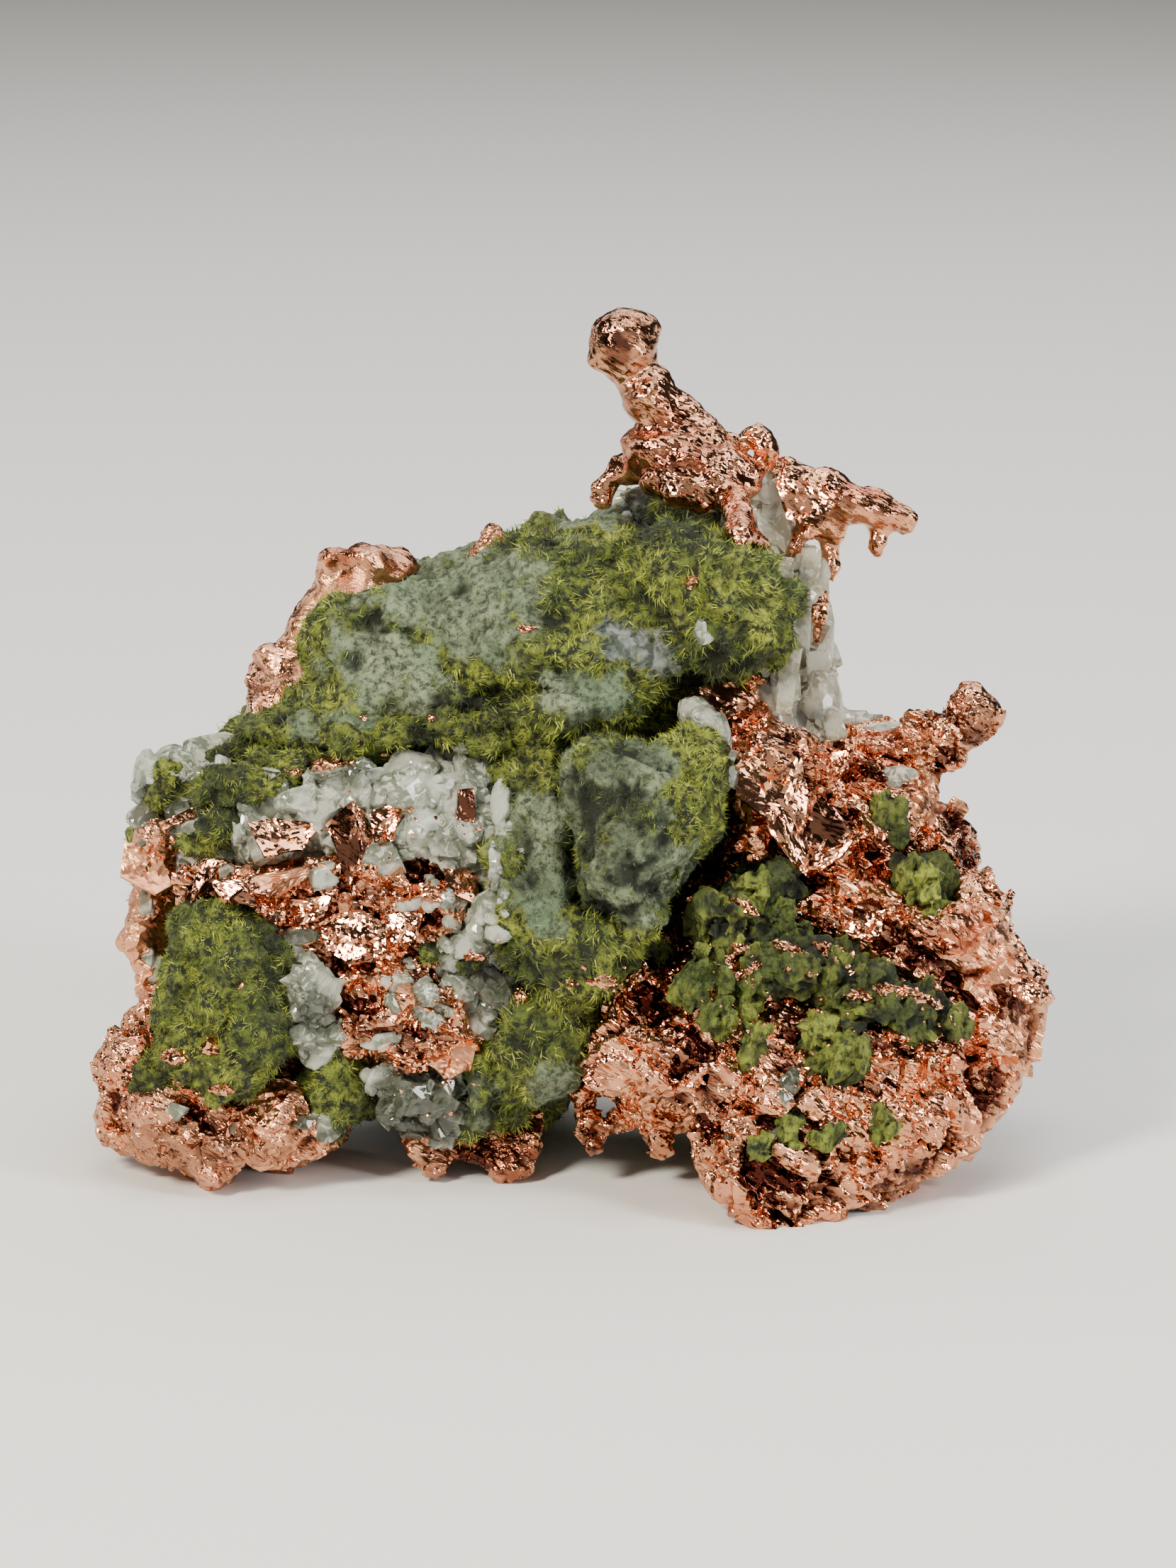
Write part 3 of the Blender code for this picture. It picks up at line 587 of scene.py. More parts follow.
def epidote_mass(name, settings, gap, stretch):
    """Massive epidote: dull and granular, yellow-green on the crests, with painted shade near black in the gaps and
    the low places.

    Its grey-green crust is pumpellyite, a wrinkled film. It is glassy where quartz shows.
    gap is the share of dark gaps, and stretch draws the grain out into fibres.
    """
    material, tree, shader, place = new_material(name)
    drawn = add(
        tree,
        "ShaderNodeMapping",
        {"Vector": place, "Scale": stretch},
        vector_type="TEXTURE",
    ).outputs[0]
    broad = add(
        tree, "ShaderNodeTexNoise", {"Vector": place, "Scale": 1 / (6 * MM), "Detail": 3.0}
    )
    fine = add(
        tree,
        "ShaderNodeTexNoise",
        {"Vector": drawn, "Scale": 1 / (0.8 * MM), "Detail": 4.0, "Roughness": 0.7},
    )
    patches = add(
        tree, "ShaderNodeValToRGB", {0: broad.outputs["Fac"]}, stops=[(0.4, BLACK), (0.7, WHITE)]
    )
    green = add(
        tree,
        "ShaderNodeMix",
        {0: patches.outputs[0], 6: settings.middle, 7: settings.light},
        data_type="RGBA",
    )
    gaps = add(
        tree,
        "ShaderNodeValToRGB",
        {0: fine.outputs["Fac"]},
        stops=[(gap - 0.1, WHITE), (gap + 0.1, BLACK)],
    )
    green = add(
        tree,
        "ShaderNodeMix",
        {0: gaps.outputs[0], 6: green.outputs[2], 7: settings.deep},
        data_type="RGBA",
    )
    pitted = add(
        tree,
        "ShaderNodeTexNoise",
        {"Vector": drawn, "Scale": 1 / (0.6 * MM), "Detail": 6.0, "Roughness": 0.75},
    )
    specks = add(
        tree, "ShaderNodeValToRGB", {0: pitted.outputs["Fac"]}, stops=[(0.4, WHITE), (0.56, BLACK)]
    )
    film = add(
        tree,
        "ShaderNodeMix",
        {0: patches.outputs[0], 6: settings.crust, 7: settings.teal},
        data_type="RGBA",
    )
    film = add(
        tree,
        "ShaderNodeMix",
        {0: specks.outputs[0], 6: film.outputs[2], 7: settings.shade},
        data_type="RGBA",
    )
    crust = add(tree, "ShaderNodeAttribute", attribute_name="crust").outputs["Fac"]
    colour = add(
        tree,
        "ShaderNodeMix",
        {0: crust, 6: green.outputs[2], 7: film.outputs[2]},
        data_type="RGBA",
    )
    tone = add(tree, "ShaderNodeAttribute", attribute_name="tone").outputs["Fac"]
    height = add(tree, "ShaderNodeAttribute", attribute_name="height").outputs["Fac"]
    # Painted shade: low places, and the spots whose tone leans dark, take the deep colour.
    painted_shade = add(tree, "ShaderNodeMath", {0: height, 1: -1.5}, operation="MULTIPLY", use_clamp=True)
    painted_shade = add(
        tree,
        "ShaderNodeMath",
        {0: tone, 1: -0.5, 2: painted_shade.outputs[0]},
        operation="MULTIPLY_ADD",
        use_clamp=True,
    )
    colour = add(
        tree,
        "ShaderNodeMix",
        {0: painted_shade.outputs[0], 6: colour.outputs[2], 7: settings.deep},
        data_type="RGBA",
    )
    glass = add(tree, "ShaderNodeAttribute", attribute_name="glass").outputs["Fac"]
    streaks = add(
        tree,
        "ShaderNodeTexNoise",
        {"Vector": place, "Scale": 1 / (1.0 * MM), "Detail": 5.0, "Distortion": 0.5},
    )
    streaks = add(
        tree,
        "ShaderNodeValToRGB",
        {0: streaks.outputs["Fac"]},
        stops=[(0.42, linear("#434D45")), (0.62, linear("#959B92"))],
    )
    colour = add(
        tree,
        "ShaderNodeMix",
        {0: glass, 6: colour.outputs[2], 7: streaks.outputs[0]},
        data_type="RGBA",
    )
    tree.links.new(colour.outputs[2], shader.inputs["Base Color"])
    gloss = add(
        tree, "ShaderNodeMath", {0: glass, 1: -0.6, 2: 0.8}, operation="MULTIPLY_ADD"
    )
    tree.links.new(gloss.outputs[0], shader.inputs["Roughness"])
    grain = add(
        tree,
        "ShaderNodeTexNoise",
        {"Vector": drawn, "Scale": 1 / (0.5 * MM), "Detail": 5.0, "Roughness": 0.7},
    )
    bump = add(
        tree,
        "ShaderNodeBump",
        {"Strength": 1.0, "Distance": 0.5 * MM, "Height": grain.outputs["Fac"]},
    )
    tree.links.new(bump.outputs[0], shader.inputs["Normal"])
    return material


def epidote_needle(name, settings):
    """Epidote needles: silky, each its own green with painted shade low in the hollows, and grey-green ones of
    pumpellyite.
    """
    material, tree, shader, _ = new_material(name)
    shade = add(tree, "ShaderNodeAttribute", attribute_name="shade").outputs["Fac"]
    crust = add(tree, "ShaderNodeAttribute", attribute_name="crust").outputs["Fac"]
    green = add(
        tree,
        "ShaderNodeValToRGB",
        {0: shade},
        stops=[(0.0, settings.deep), (0.5, settings.middle), (1.0, settings.light)],
    )
    grey = add(
        tree,
        "ShaderNodeValToRGB",
        {0: shade},
        stops=[(0.0, settings.shade), (0.4, settings.teal), (0.8, settings.crust)],
    )
    colour = add(
        tree,
        "ShaderNodeMix",
        {0: crust, 6: green.outputs[0], 7: grey.outputs[0]},
        data_type="RGBA",
    )
    tree.links.new(colour.outputs[2], shader.inputs["Base Color"])
    shader.inputs["Roughness"].default_value = 0.55
    return material


def broken_crystal(name, colours, transmission, rough, spacing, tilt):
    """Quartz or calcite: clear in places and milky in others, glassy on each fresh break.

    White streaks are cracks inside it. The colours are the milky, the clear and the dull one.
    """
    milky, clear, dull = colours
    material, tree, shader, place = new_material(name)
    cloud = add(
        tree, "ShaderNodeTexNoise", {"Vector": place, "Scale": 1 / (2.4 * MM), "Detail": 5.0}
    )
    mix = add(
        tree, "ShaderNodeValToRGB", {0: cloud.outputs["Fac"]}, stops=[(0.44, BLACK), (0.6, WHITE)]
    )
    colour = add(
        tree, "ShaderNodeMix", {0: mix.outputs[0], 6: clear, 7: milky}, data_type="RGBA"
    )
    streaks = add(
        tree,
        "ShaderNodeTexNoise",
        {"Vector": place, "Scale": 1 / (1.2 * MM), "Detail": 6.0, "Distortion": 2.0},
    )
    streaks = add(
        tree,
        "ShaderNodeValToRGB",
        {0: streaks.outputs["Fac"]},
        stops=[(0.52, BLACK), (0.57, (0.9, 0.9, 0.9))],
    )
    colour = add(
        tree,
        "ShaderNodeMix",
        {0: streaks.outputs[0], 6: colour.outputs[2], 7: milky},
        data_type="RGBA",
    )
    dullness = add(tree, "ShaderNodeAttribute", attribute_name="dull").outputs["Fac"]
    colour = add(
        tree, "ShaderNodeMix", {0: dullness, 6: colour.outputs[2], 7: dull}, data_type="RGBA"
    )
    tree.links.new(colour.outputs[2], shader.inputs["Base Color"])
    shader.inputs["IOR"].default_value = 1.54
    shader.inputs["Transmission Weight"].default_value = transmission
    shader.inputs["Subsurface Weight"].default_value = 0.12
    shader.inputs["Subsurface Radius"].default_value = (1.0, 1.0, 0.9)
    shader.inputs["Subsurface Scale"].default_value = 1.2 * MM
    grit = add(
        tree, "ShaderNodeTexNoise", {"Vector": place, "Scale": 1 / (1.2 * MM), "Detail": 2.0}
    )
    gloss = add(
        tree,
        "ShaderNodeValToRGB",
        {0: grit.outputs["Fac"]},
        stops=[(0.4, (rough * 0.6,) * 3), (0.7, (rough * 1.6,) * 3)],
    )
    tree.links.new(gloss.outputs[0], shader.inputs["Roughness"])
    tree.links.new(glinting(tree, place, spacing, 1.0, tilt), shader.inputs["Normal"])
    return material


class SPECIMEN_OT_copper(bpy.types.Operator):
    """Grows crumpled copper on every copper solid"""

    bl_idname = "specimen.copper"
    bl_label = "Copper"

    # node, voxel, share of the crumple's size, finish
    pieces = (
        ("copper_mass_right", 0.34, 1.0, "hackly"),
        ("copper_plate_left", 0.34, 0.7, "worn"),
        ("copper_sheet_centre", 0.28, 0.9, "crumpled"),
        ("copper_crown", 0.2, 0.42, "nodular"),
        ("copper_hook_upper_right", 0.22, 0.5, "nodular"),
        ("copper_arm_right", 0.22, 0.55, "hackly"),
        ("copper_bridge_bottom", 0.22, 0.5, "crumpled"),
        ("copper_flap_bottom", 0.24, 0.4, "worn"),
        ("copper_ridge_upper_left", 0.28, 0.8, "folded"),
        ("copper_fin_top", 0.2, 0.25, "worn"),
        ("copper_sheet_back", 0.5, 1.0, "folded"),
    )
    satin = (
        (37, 13, 2.6, 6), (-38.6, 25, 1.8, 8), (28.8, 36.5, 1.4, 2.6), (3, 68.6, 1.4, 3), (-20, 50, 4.5, 5), (33.5, 8.5, 2, 2.5), (33.5, 23, 3, 4),
    )
    # Where it is smooth and shines.
    sleek = (
        (3.2, 74.6, 3.2, 3.4), (4.1, 65.8, 1.6, 1.6), (19.3, 61.4, 3.4, 2.4), (2.4, 63.2, 1.8, 1.8),
        (33.8, 42.6, 1.8, 2.6), (-20, 50, 4.5, 6), (-37.5, 27, 2.6, 6), (24.5, 60, 2, 2),
        (16, 34, 3, 4), (-24, 11.5, 4, 3), (-14, 18, 5, 3),
    )
    # Ruddy spots: partly red oxide, partly painted red inter-reflection and shade in the hollows.
    ruddy = (
        (11, 30.5, 3, 5), (25.4, 40.6, 2, 1.3), (24.6, 30.5, 1.8, 2.2), (31, 24.6, 3, 1.6),
        (22.6, 38.3, 1.2, 1), (-20.5, 57, 1.5, 1), (-8, 6, 4, 2), (6.6, 68.6, 1.2, 1.8),
        (11.5, 44.2, 3, 2.4), (5.5, 22, 3, 3), (32, 14, 2, 1.2), (-36, 15, 1.6, 2),
        (7, 64.4, 3, 1.2), (22, 62, 2, 1),
    )
    # Dark spots: partly dark oxide, partly painted shade in hollows and under overhangs.
    tarnish_and_shade = (
        (16.8, 30.4, 1.5, 2.8), (2.4, 74, 1.4, 1.6), (11.5, 45, 1.4, 1), (30.3, 39.9, 1, 0.8), (-8, 5.5, 3, 1),
        (32.6, 41.4, 1, 0.8), (9.5, 33, 1.4, 3),
    )
    # Where it is browned all over, partly oxide and partly painted shade.
    dusky = (
        (2.6, 74.6, 3.6, 3.6), (3.4, 69, 2, 2.6), (7.5, 65, 5, 3), (33.6, 42.4, 3, 3), (-33, 7, 7, 3), (9, 32, 3, 6),
        (-8, 6, 6, 3), (-21, 28, 5, 2),
    )
    dents = {
        "copper_mass_right": (
            (16.8, 30.2, 1.9, 3.2, 2.6), (11.2, 31, 2.2, 5, 1.6), (23.6, 30.6, 1.4, 1.8, 1.2),
            (22.5, 38.2, 1.1, 0.9, 1.2), (7, 19, 2, 3, 1.2), (16, 20.5, 5, 2, 1.0),
        ),
        "copper_sheet_centre": ((-18.6, 19.5, 2.4, 1.4, 1.2), (-13.6, 18, 2, 1.2, 1.2)),
    }

    # Where it swells into a round knob: u, v and radius.
    knobs = {"copper_crown": ((3.1, 74.5, 3.1),)}

    def execute(self, context):
        settings = context.scene.specimen_copper
        finishes = {
            "hackly": (2.6, native_copper("hackly copper", settings, 3.2, 0.85, 0.09, 0.16)),
            "crumpled": (1.4, native_copper("crumpled copper", settings, 1.5, 0.65, 0.1, 0.12)),
            "nodular": (1.4, native_copper("nodular copper", settings, 1.8, 0.55, 0.1, 0.14)),
            "folded": (1.6, native_copper("folded copper", settings, 2.2, 0.22, 0.22, 0.2)),
            "worn": (1.6, native_copper("worn copper", settings, 2.2, 0.5, 0.18, 0.24)),
        }
        flowing = ("nodular", "folded")
        for number, (node, voxel, share, finish) in enumerate(self.pieces):
            stretch, material = finishes[finish]
            obj = bare_copy(node, voxel)
            modify(obj, "SMOOTH", factor=0.5, iterations=8 if finish in flowing else 2)
            sink(obj, self.dents.get(node, ()))
            for knob in self.knobs.get(node, ()):
                swell(obj, *knob)
            if finish == "folded":
                waver(obj, 5.0, 3.5)
            calm = zone(points_of(obj), self.satin) * 0.25 + zone(points_of(obj), self.sleek) * 0.3
            facet = settings.facet / MM * (0.4 + 0.6 * share)
            depth = settings.depth / MM * share
            layers = (
                (facets, facet * 3.4, depth * 1.4, 1.6),
                (facets, facet * 1.9, depth * 1.1, 1.0),
                (ridges, facet * 1.5, depth * 0.35, stretch),
                (facets, facet * 0.6, depth * 0.6, stretch),
            )
            if finish in flowing:
                layers = (
                    (cushions, facet * 2.2, depth * 1.3, 1.0),
                    (cushions, facet * 1.1, depth * 0.5, 1.0),
                    (hills, facet * 0.6, depth * 0.5, stretch),
                )
            sculpt(obj, layers, 0.15 if finish in flowing else 0.25, calm, number + 1)
            modify(obj, "DECIMATE", ratio=0.6)
            if finish in flowing:
                smooth_shaded(obj)
            points = points_of(obj)
            keep_value(obj, "satin", zone(points, self.satin))
            keep_value(obj, "sleek", zone(points, self.sleek))
            keep_value(obj, "ruddy", zone(points, self.ruddy, 1.0, 1.2) * 0.7)
            # The darkening is partly oxide and partly painted shade.
            stain_and_shade = np.maximum(
                zone(points, self.tarnish_and_shade, 0.5, 2.0) * 0.85, zone(points, self.dusky, 0.9, 1.4) * 0.4
            )
            keep_value(obj, "tarnish_and_shade", stain_and_shade)
            settle(obj, material, node)
        return {"FINISHED"}


CRUST = (
    (-11, 53.5, 6.5, 4), (-17, 47, 5, 3.5), (-22, 42, 3.6, 1.6), (-0.5, 45, 3.6, 1.6),
    (-4, 31, 2.6, 6), (0, 59.5, 3.4, 1.4), (-9, 50.5, 4, 2.6), (-13, 9, 4.5, 3.5),
    (-3, 12, 2.4, 2),
)
WINDOWS = ((3.2, 49.2, 2.8, 1.5), (5.6, 48.3, 1.8, 1.3), (1.6, 50.2, 1.5, 1.0), (2.6, 61.4, 1.6, 0.9))
# Where the green is lighter: partly fresh yellow-green, partly painted light on the rock's dim lower front.
YELLOW = (
    (-20, 45.4, 6, 1.6), (-2, 49.5, 3, 2), (6, 54, 4, 2.4), (10.5, 52.5, 2.4, 3), (-9, 47.4, 3, 1),
    (8.6, 37.5, 3, 5), (-1, 16.5, 2.6, 2.4), (9.8, 21.4, 2.2, 2.8), (12.4, 18.6, 2.4, 2.4),
    (21, 14.4, 2, 1.4), (28.6, 27.4, 1.4, 2.2), (16, 27.2, 1.2, 1), (-4, 24, 2, 2),
    (-2, 14, 5, 5), (-16, 46, 4, 2), (-31, 20, 3, 5),
)
SHADED = (
    (6.4, 58.6, 3, 1.4), (-5.6, 47.6, 1.6, 1), (-30.5, 37, 2.6, 4.6), (-27, 22, 3, 5),
    (-11, 22.4, 2, 1.4), (-3, 21.4, 3, 1.4), (10.8, 26.4, 1.6, 2.2), (19, 22, 5, 2),
    (14.3, 15.2, 1.6, 2.2), (29, 17, 5, 2.4), (-10, 22, 3, 2), (27.2, 31, 1.4, 0.8), (25.5, 34.4, 2.4, 2.4),
    (-36.6, 12.4, 3, 1.6), (-17, 8, 4, 3), (3, 53.6, 1.4, 1), (8, 46.4, 5, 1), (-12, 44.4, 4, 0.8),
    (2, 34, 4.5, 6), (11, 56, 3, 2), (28, 17.4, 4, 2.4),
)


def tone_of(points):
    """Which way the green leans: 1 is fresh yellow-green partly with painted light, -1 is dark olive partly with
    painted shade.
    """
    return zone(points, YELLOW, 1.0, 1.6, 20.0) - zone(points, SHADED, 1.0, 1.6, 20.0)



class SPECIMEN_OT_green_rock(bpy.types.Operator):
    """Grows the granular surface of the green rock and its nodule"""

    bl_idname = "specimen.green_rock"
    bl_label = "Green rock"

    dents = (
        (5.2, 43.6, 2.4, 0.9, 2.4), (-1.2, 36, 0.8, 3, 1.6), (-0.2, 29, 0.8, 3.4, 1.6),
        (-6, 45.2, 4, 0.8, 1.2), (-25, 40.5, 5, 0.8, 1.2), (-14, 43.2, 5, 0.7, 1.0),
        (-18, 6.5, 3, 1.6, 1.6),
    )

    def execute(self, context):
        settings = context.scene.specimen_green
        rock = bare_copy("green_matrix_rock", 0.44)
        sink(rock, self.dents)
        crust = zone(points_of(rock), CRUST, 0.7, 2.6) + self.behind(points_of(rock))
        glass = zone(points_of(rock), WINDOWS, 0.8, 1.0)
        layers = (
            (cushions, 5.0, 2.2, 1.3), (cushions, 2.4, 1.5, 1.0), (cushions, 1.3, 0.9, 1.0),
        )
        sculpt(rock, layers, 0.2, np.maximum(crust * 0.6, glass), 21)
        wrinkles = ((ridges, 2.6, 0.35, 1.6), (creases, 1.3, 0.35, 1.6))
        sculpt(rock, wrinkles, 0, 1 - crust, 23)
        keep_value(rock, "crust", crust)
        keep_value(rock, "glass", glass)
        keep_value(rock, "tone", tone_of(points_of(rock)))
        smooth_shaded(rock)
        material = epidote_mass("massive epidote", settings, 0.52, (1, 1, 1))
        settle(rock, material, "green_matrix_rock")
        nodule = bare_copy("green_nodule", 0.28)
        modify(nodule, "SMOOTH", factor=0.5, iterations=6)
        layers = (
            (hills, 3.5, 1.1, 1.0), (ridges, 2.4, 0.3, 1.0), (pits, 1.6, 0.6, 1.0),
            (cracks, 4.5, 0.7, 1.0), (hills, 0.6, 0.2, 1.0),
        )
        sculpt(nodule, layers, 0.3, None, 22)
        sink(nodule, ((7.0, 30.1, 0.7, 0.6, 0.9), (5.3, 28.7, 0.6, 0.5, 0.7)))
        spots = (
            (2.8, 38.6, 4.8, 2.4), (-0.6, 36, 1.8, 3), (4.6, 29.8, 4.6, 4.2), (8.2, 33.6, 1.4, 1.8),
        )
        keep_value(nodule, "crust", zone(points_of(nodule), spots, 0.9, 2.0) * 0.9)
        keep_value(nodule, "tone", tone_of(points_of(nodule)))
        smooth_shaded(nodule)
        settle(nodule, material, "green_nodule")
        return {"FINISHED"}

    def behind(self, points):
        """Patches of crust on the side away from the viewer."""
        patchy = np.array([noise.noise(Vector(point) / (11 * MM)) for point in points])
        return np.clip(patchy * 6 - 0.6, 0, 1) * (seen(points)[2] > 8)


class SPECIMEN_OT_quartz(bpy.types.Operator):
    """Grows the broken quartz and the blocky calcite, with loose grains around them"""

    bl_idname = "specimen.quartz"
    bl_label = "Quartz and calcite"

    # node, voxel, width of a break, its height
    pieces = (
        ("quartz_mass_left", 0.3, 4.0, 2.0), ("quartz_shoulder_left", 0.3, 3.4, 1.0),
        ("quartz_grain_centre", 0.26, 2.6, 0.6), ("quartz_pod_back", 0.5, 3.4, 1.5),
    )
    grains = (
        (-30.5, 31.5, 1.7, 1.5), (-30.6, 29.8, 0.7, 0.7), (-27, 36, 2.3, 1.3, 20),
        (-24, 35.8, 2.3, 1.5), (-20.8, 37.8, 3.2, 1.5, -10), (-15, 37.2, 2.6, 2.2),
        (-14, 33.5, 2.4, 2.6), (-11.3, 32.6, 2.2, 1.5), (-8.8, 33.2, 1.6, 1.3),
        (-9.5, 38.8, 1.9, 2.2), (-12.5, 40.2, 1.6, 1.4), (-17.3, 30.8, 2.2, 1.7),
        (-22.6, 29.6, 1.7, 1.2), (-26.3, 31.5, 1.6, 1.0), (-7.5, 30, 1.3, 2.2),
        (-8, 26.6, 1.8, 1.6), (-10.2, 24, 2, 2), (-12.5, 21.5, 1.8, 1.3),
        (-24.3, 24.6, 1.8, 1.1), (-26.8, 26.2, 0.9, 1.1), (-15, 27.2, 1.8, 0.9),
        (-37.3, 34.4, 1.6, 1.7), (-35.6, 38.3, 1.4, 1.3), (-34.3, 31, 1.2, 2),
        (-33.4, 33.2, 1.1, 1), (-24.2, 20.2, 1, 1.3), (-22.9, 17.3, 1.2, 1.2),
        (-21.8, 19.3, 1, 1), (-23.8, 15.9, 1.2, 0.9), (-24.6, 18, 0.8, 0.9),
        (-21.3, 16, 0.9, 1), (-16.2, 20.9, 1.5, 1), (-14.2, 20.4, 1, 0.8),
        (-10.2, 19.3, 1.5, 1.5), (-8.4, 18.2, 1.2, 1.2), (-12.9, 16.9, 1.1, 0.9),
        (-17.4, 15.7, 1.9, 0.8), (-14.5, 11.4, 1.6, 1), (-17.5, 12.4, 1.5, 1),
        (-35, 9.6, 1.2, 0.8), (-30, 8.2, 1.2, 1.1), (-22.6, 8.4, 1.6, 1.3),
        (-24.2, 8.8, 0.9, 0.7), (-37.2, 26.6, 0.9, 2.4, 0, 1.6), (-37.3, 22.8, 0.8, 2.0, 0, 1.6),
        (9.6, 50.1, 1.0, 1.2, 30), (-14.6, 38.9, 2.0, 1.7), (-24.8, 22.8, 1.1, 1.9), (2.4, 61.2, 1.4, 1),
        (3.9, 61.8, 1.2, 0.9), (26.3, 37.6, 1.9, 1.2), (15.3, 29.8, 1.5, 1.4, 0, 1.7),
        (17.4, 28.4, 0.9, 1.2), (16.5, 10.8, 1, 0.7), (12, 7.5, 1, 0.7), (15.7, 7.8, 1.1, 0.6),
        (17.2, 12.2, 1.1, 1.3), (24.5, 42.0, 2.4, 0.8), (-36.8, 29.8, 1.2, 1),
        (-36.6, 21, 0.9, 1.6), (-11.2, 27.4, 1.4, 1.6), (-8.2, 22.4, 1.2, 1.6),
        (-6.9, 35.6, 1.2, 2.2), (-10.4, 41, 1.2, 0.9), (-31.8, 40.6, 2.2, 1.2),
    )
    blocks = (
        (15.8, 60.4, 2.0, 3.2, 12), (18.7, 55.6, 1.3, 2.8), (16.6, 55.0, 1.4, 2.6, 5),
        (17.8, 51.2, 1.6, 2.6, -4), (19.5, 47.2, 1.5, 2.8, 3), (16.9, 47.4, 1.6, 2.6, -3),
        (14.9, 44.6, 1.7, 2.1, 8), (17.6, 43.9, 1.7, 1.9, -6), (20.6, 42.9, 1.6, 1.2, 20),
    )
    # Where the quartz is full of green specks, and painted shade where it lies in shadow.
    dull = (
        (-14.5, 9.6, 5.5, 4.6), (-8, 20, 2.4, 3), (-23, 18, 2, 2), (-24, 24.8, 2.4, 1.2),
        (-20.8, 38, 3, 1), (-37, 34, 2.4, 4), (16, 29, 3, 2), (26.3, 37, 2, 0.8), (-31, 31, 2, 1.4),
        (14, 8, 4, 2), (17, 12, 2, 2), (-30, 8, 8, 2), (15.8, 46.8, 1.6, 1.4), (18, 53.4, 0.9, 2.2),
        (18.4, 42.8, 1.2, 1.0),
    )
    # Where small grains lie loose between the larger ones.
    sprinkled = (
        (-20, 35, 12, 4.5), (-10, 30, 4, 8), (-23, 18, 2.4, 4), (-13, 20, 5, 2.5),
        (-16, 11, 4, 2.5), (-36, 35, 2.4, 4),
    )

    def execute(self, context):
        settings = context.scene.specimen_quartz
        colours = (settings.milky, settings.clear, settings.dull)
        quartz = broken_crystal("milky quartz", colours, 0.55, 0.05, 1.4, 0.4)
        for number, (node, voxel, grain, tall) in enumerate(self.pieces):
            obj = bare_copy(node, voxel)
            layers = ((facets, grain, tall, 1.0), (facets, grain * 0.5, tall * 0.3, 1.0))
            sculpt(obj, layers, 0.1, None, 40 + number)
            modify(obj, "DECIMATE", ratio=0.2)
            keep_value(obj, "dull", zone(points_of(obj), self.dull, 0.8, 2.0) * 0.8)
            settle(obj, quartz, node)
        spots = strewn(self.sprinkled, 190, 0.3, 0.8, 62)
        grains = lumps("quartz_grains", self.grains, 60, 4, 12, 0.55)
        modify(grains, "DECIMATE", ratio=0.25)
        grit = lumps("quartz_grit", spots, 63, 2, 8)
        for obj in (grains, grit):
            keep_value(obj, "dull", zone(points_of(obj), self.dull, 0.8, 2.0) * 0.8)
            settle(obj, quartz)
        colours = (settings.calcite, settings.stained, settings.dull)
        calcite = broken_crystal("cloudy calcite", colours, 0.5, 0.12, 3.0, 0.1)
        obj = bare_copy("calcite_crystals_right", 0.34)
        modify(obj, "SMOOTH", factor=0.5, iterations=4)
        sculpt(obj, ((facets, 3.4, 0.9, 1.0), (hills, 0.8, 0.03, 1.0)), 0.3, None, 50)
        modify(obj, "DECIMATE", ratio=0.4)
        keep_value(obj, "dull", zone(points_of(obj), self.dull, 0.8, 2.0, 20.0) * 0.6)
        settle(obj, calcite, "calcite_crystals_right")
        blocks = lumps("calcite_blocks", self.blocks, 51, 4, 2, 0.2, 0.9, True)
        keep_value(blocks, "dull", zone(points_of(blocks), self.dull, 0.8, 2.0, 20.0) * 0.6)
        settle(blocks, calcite)
        return {"FINISHED"}


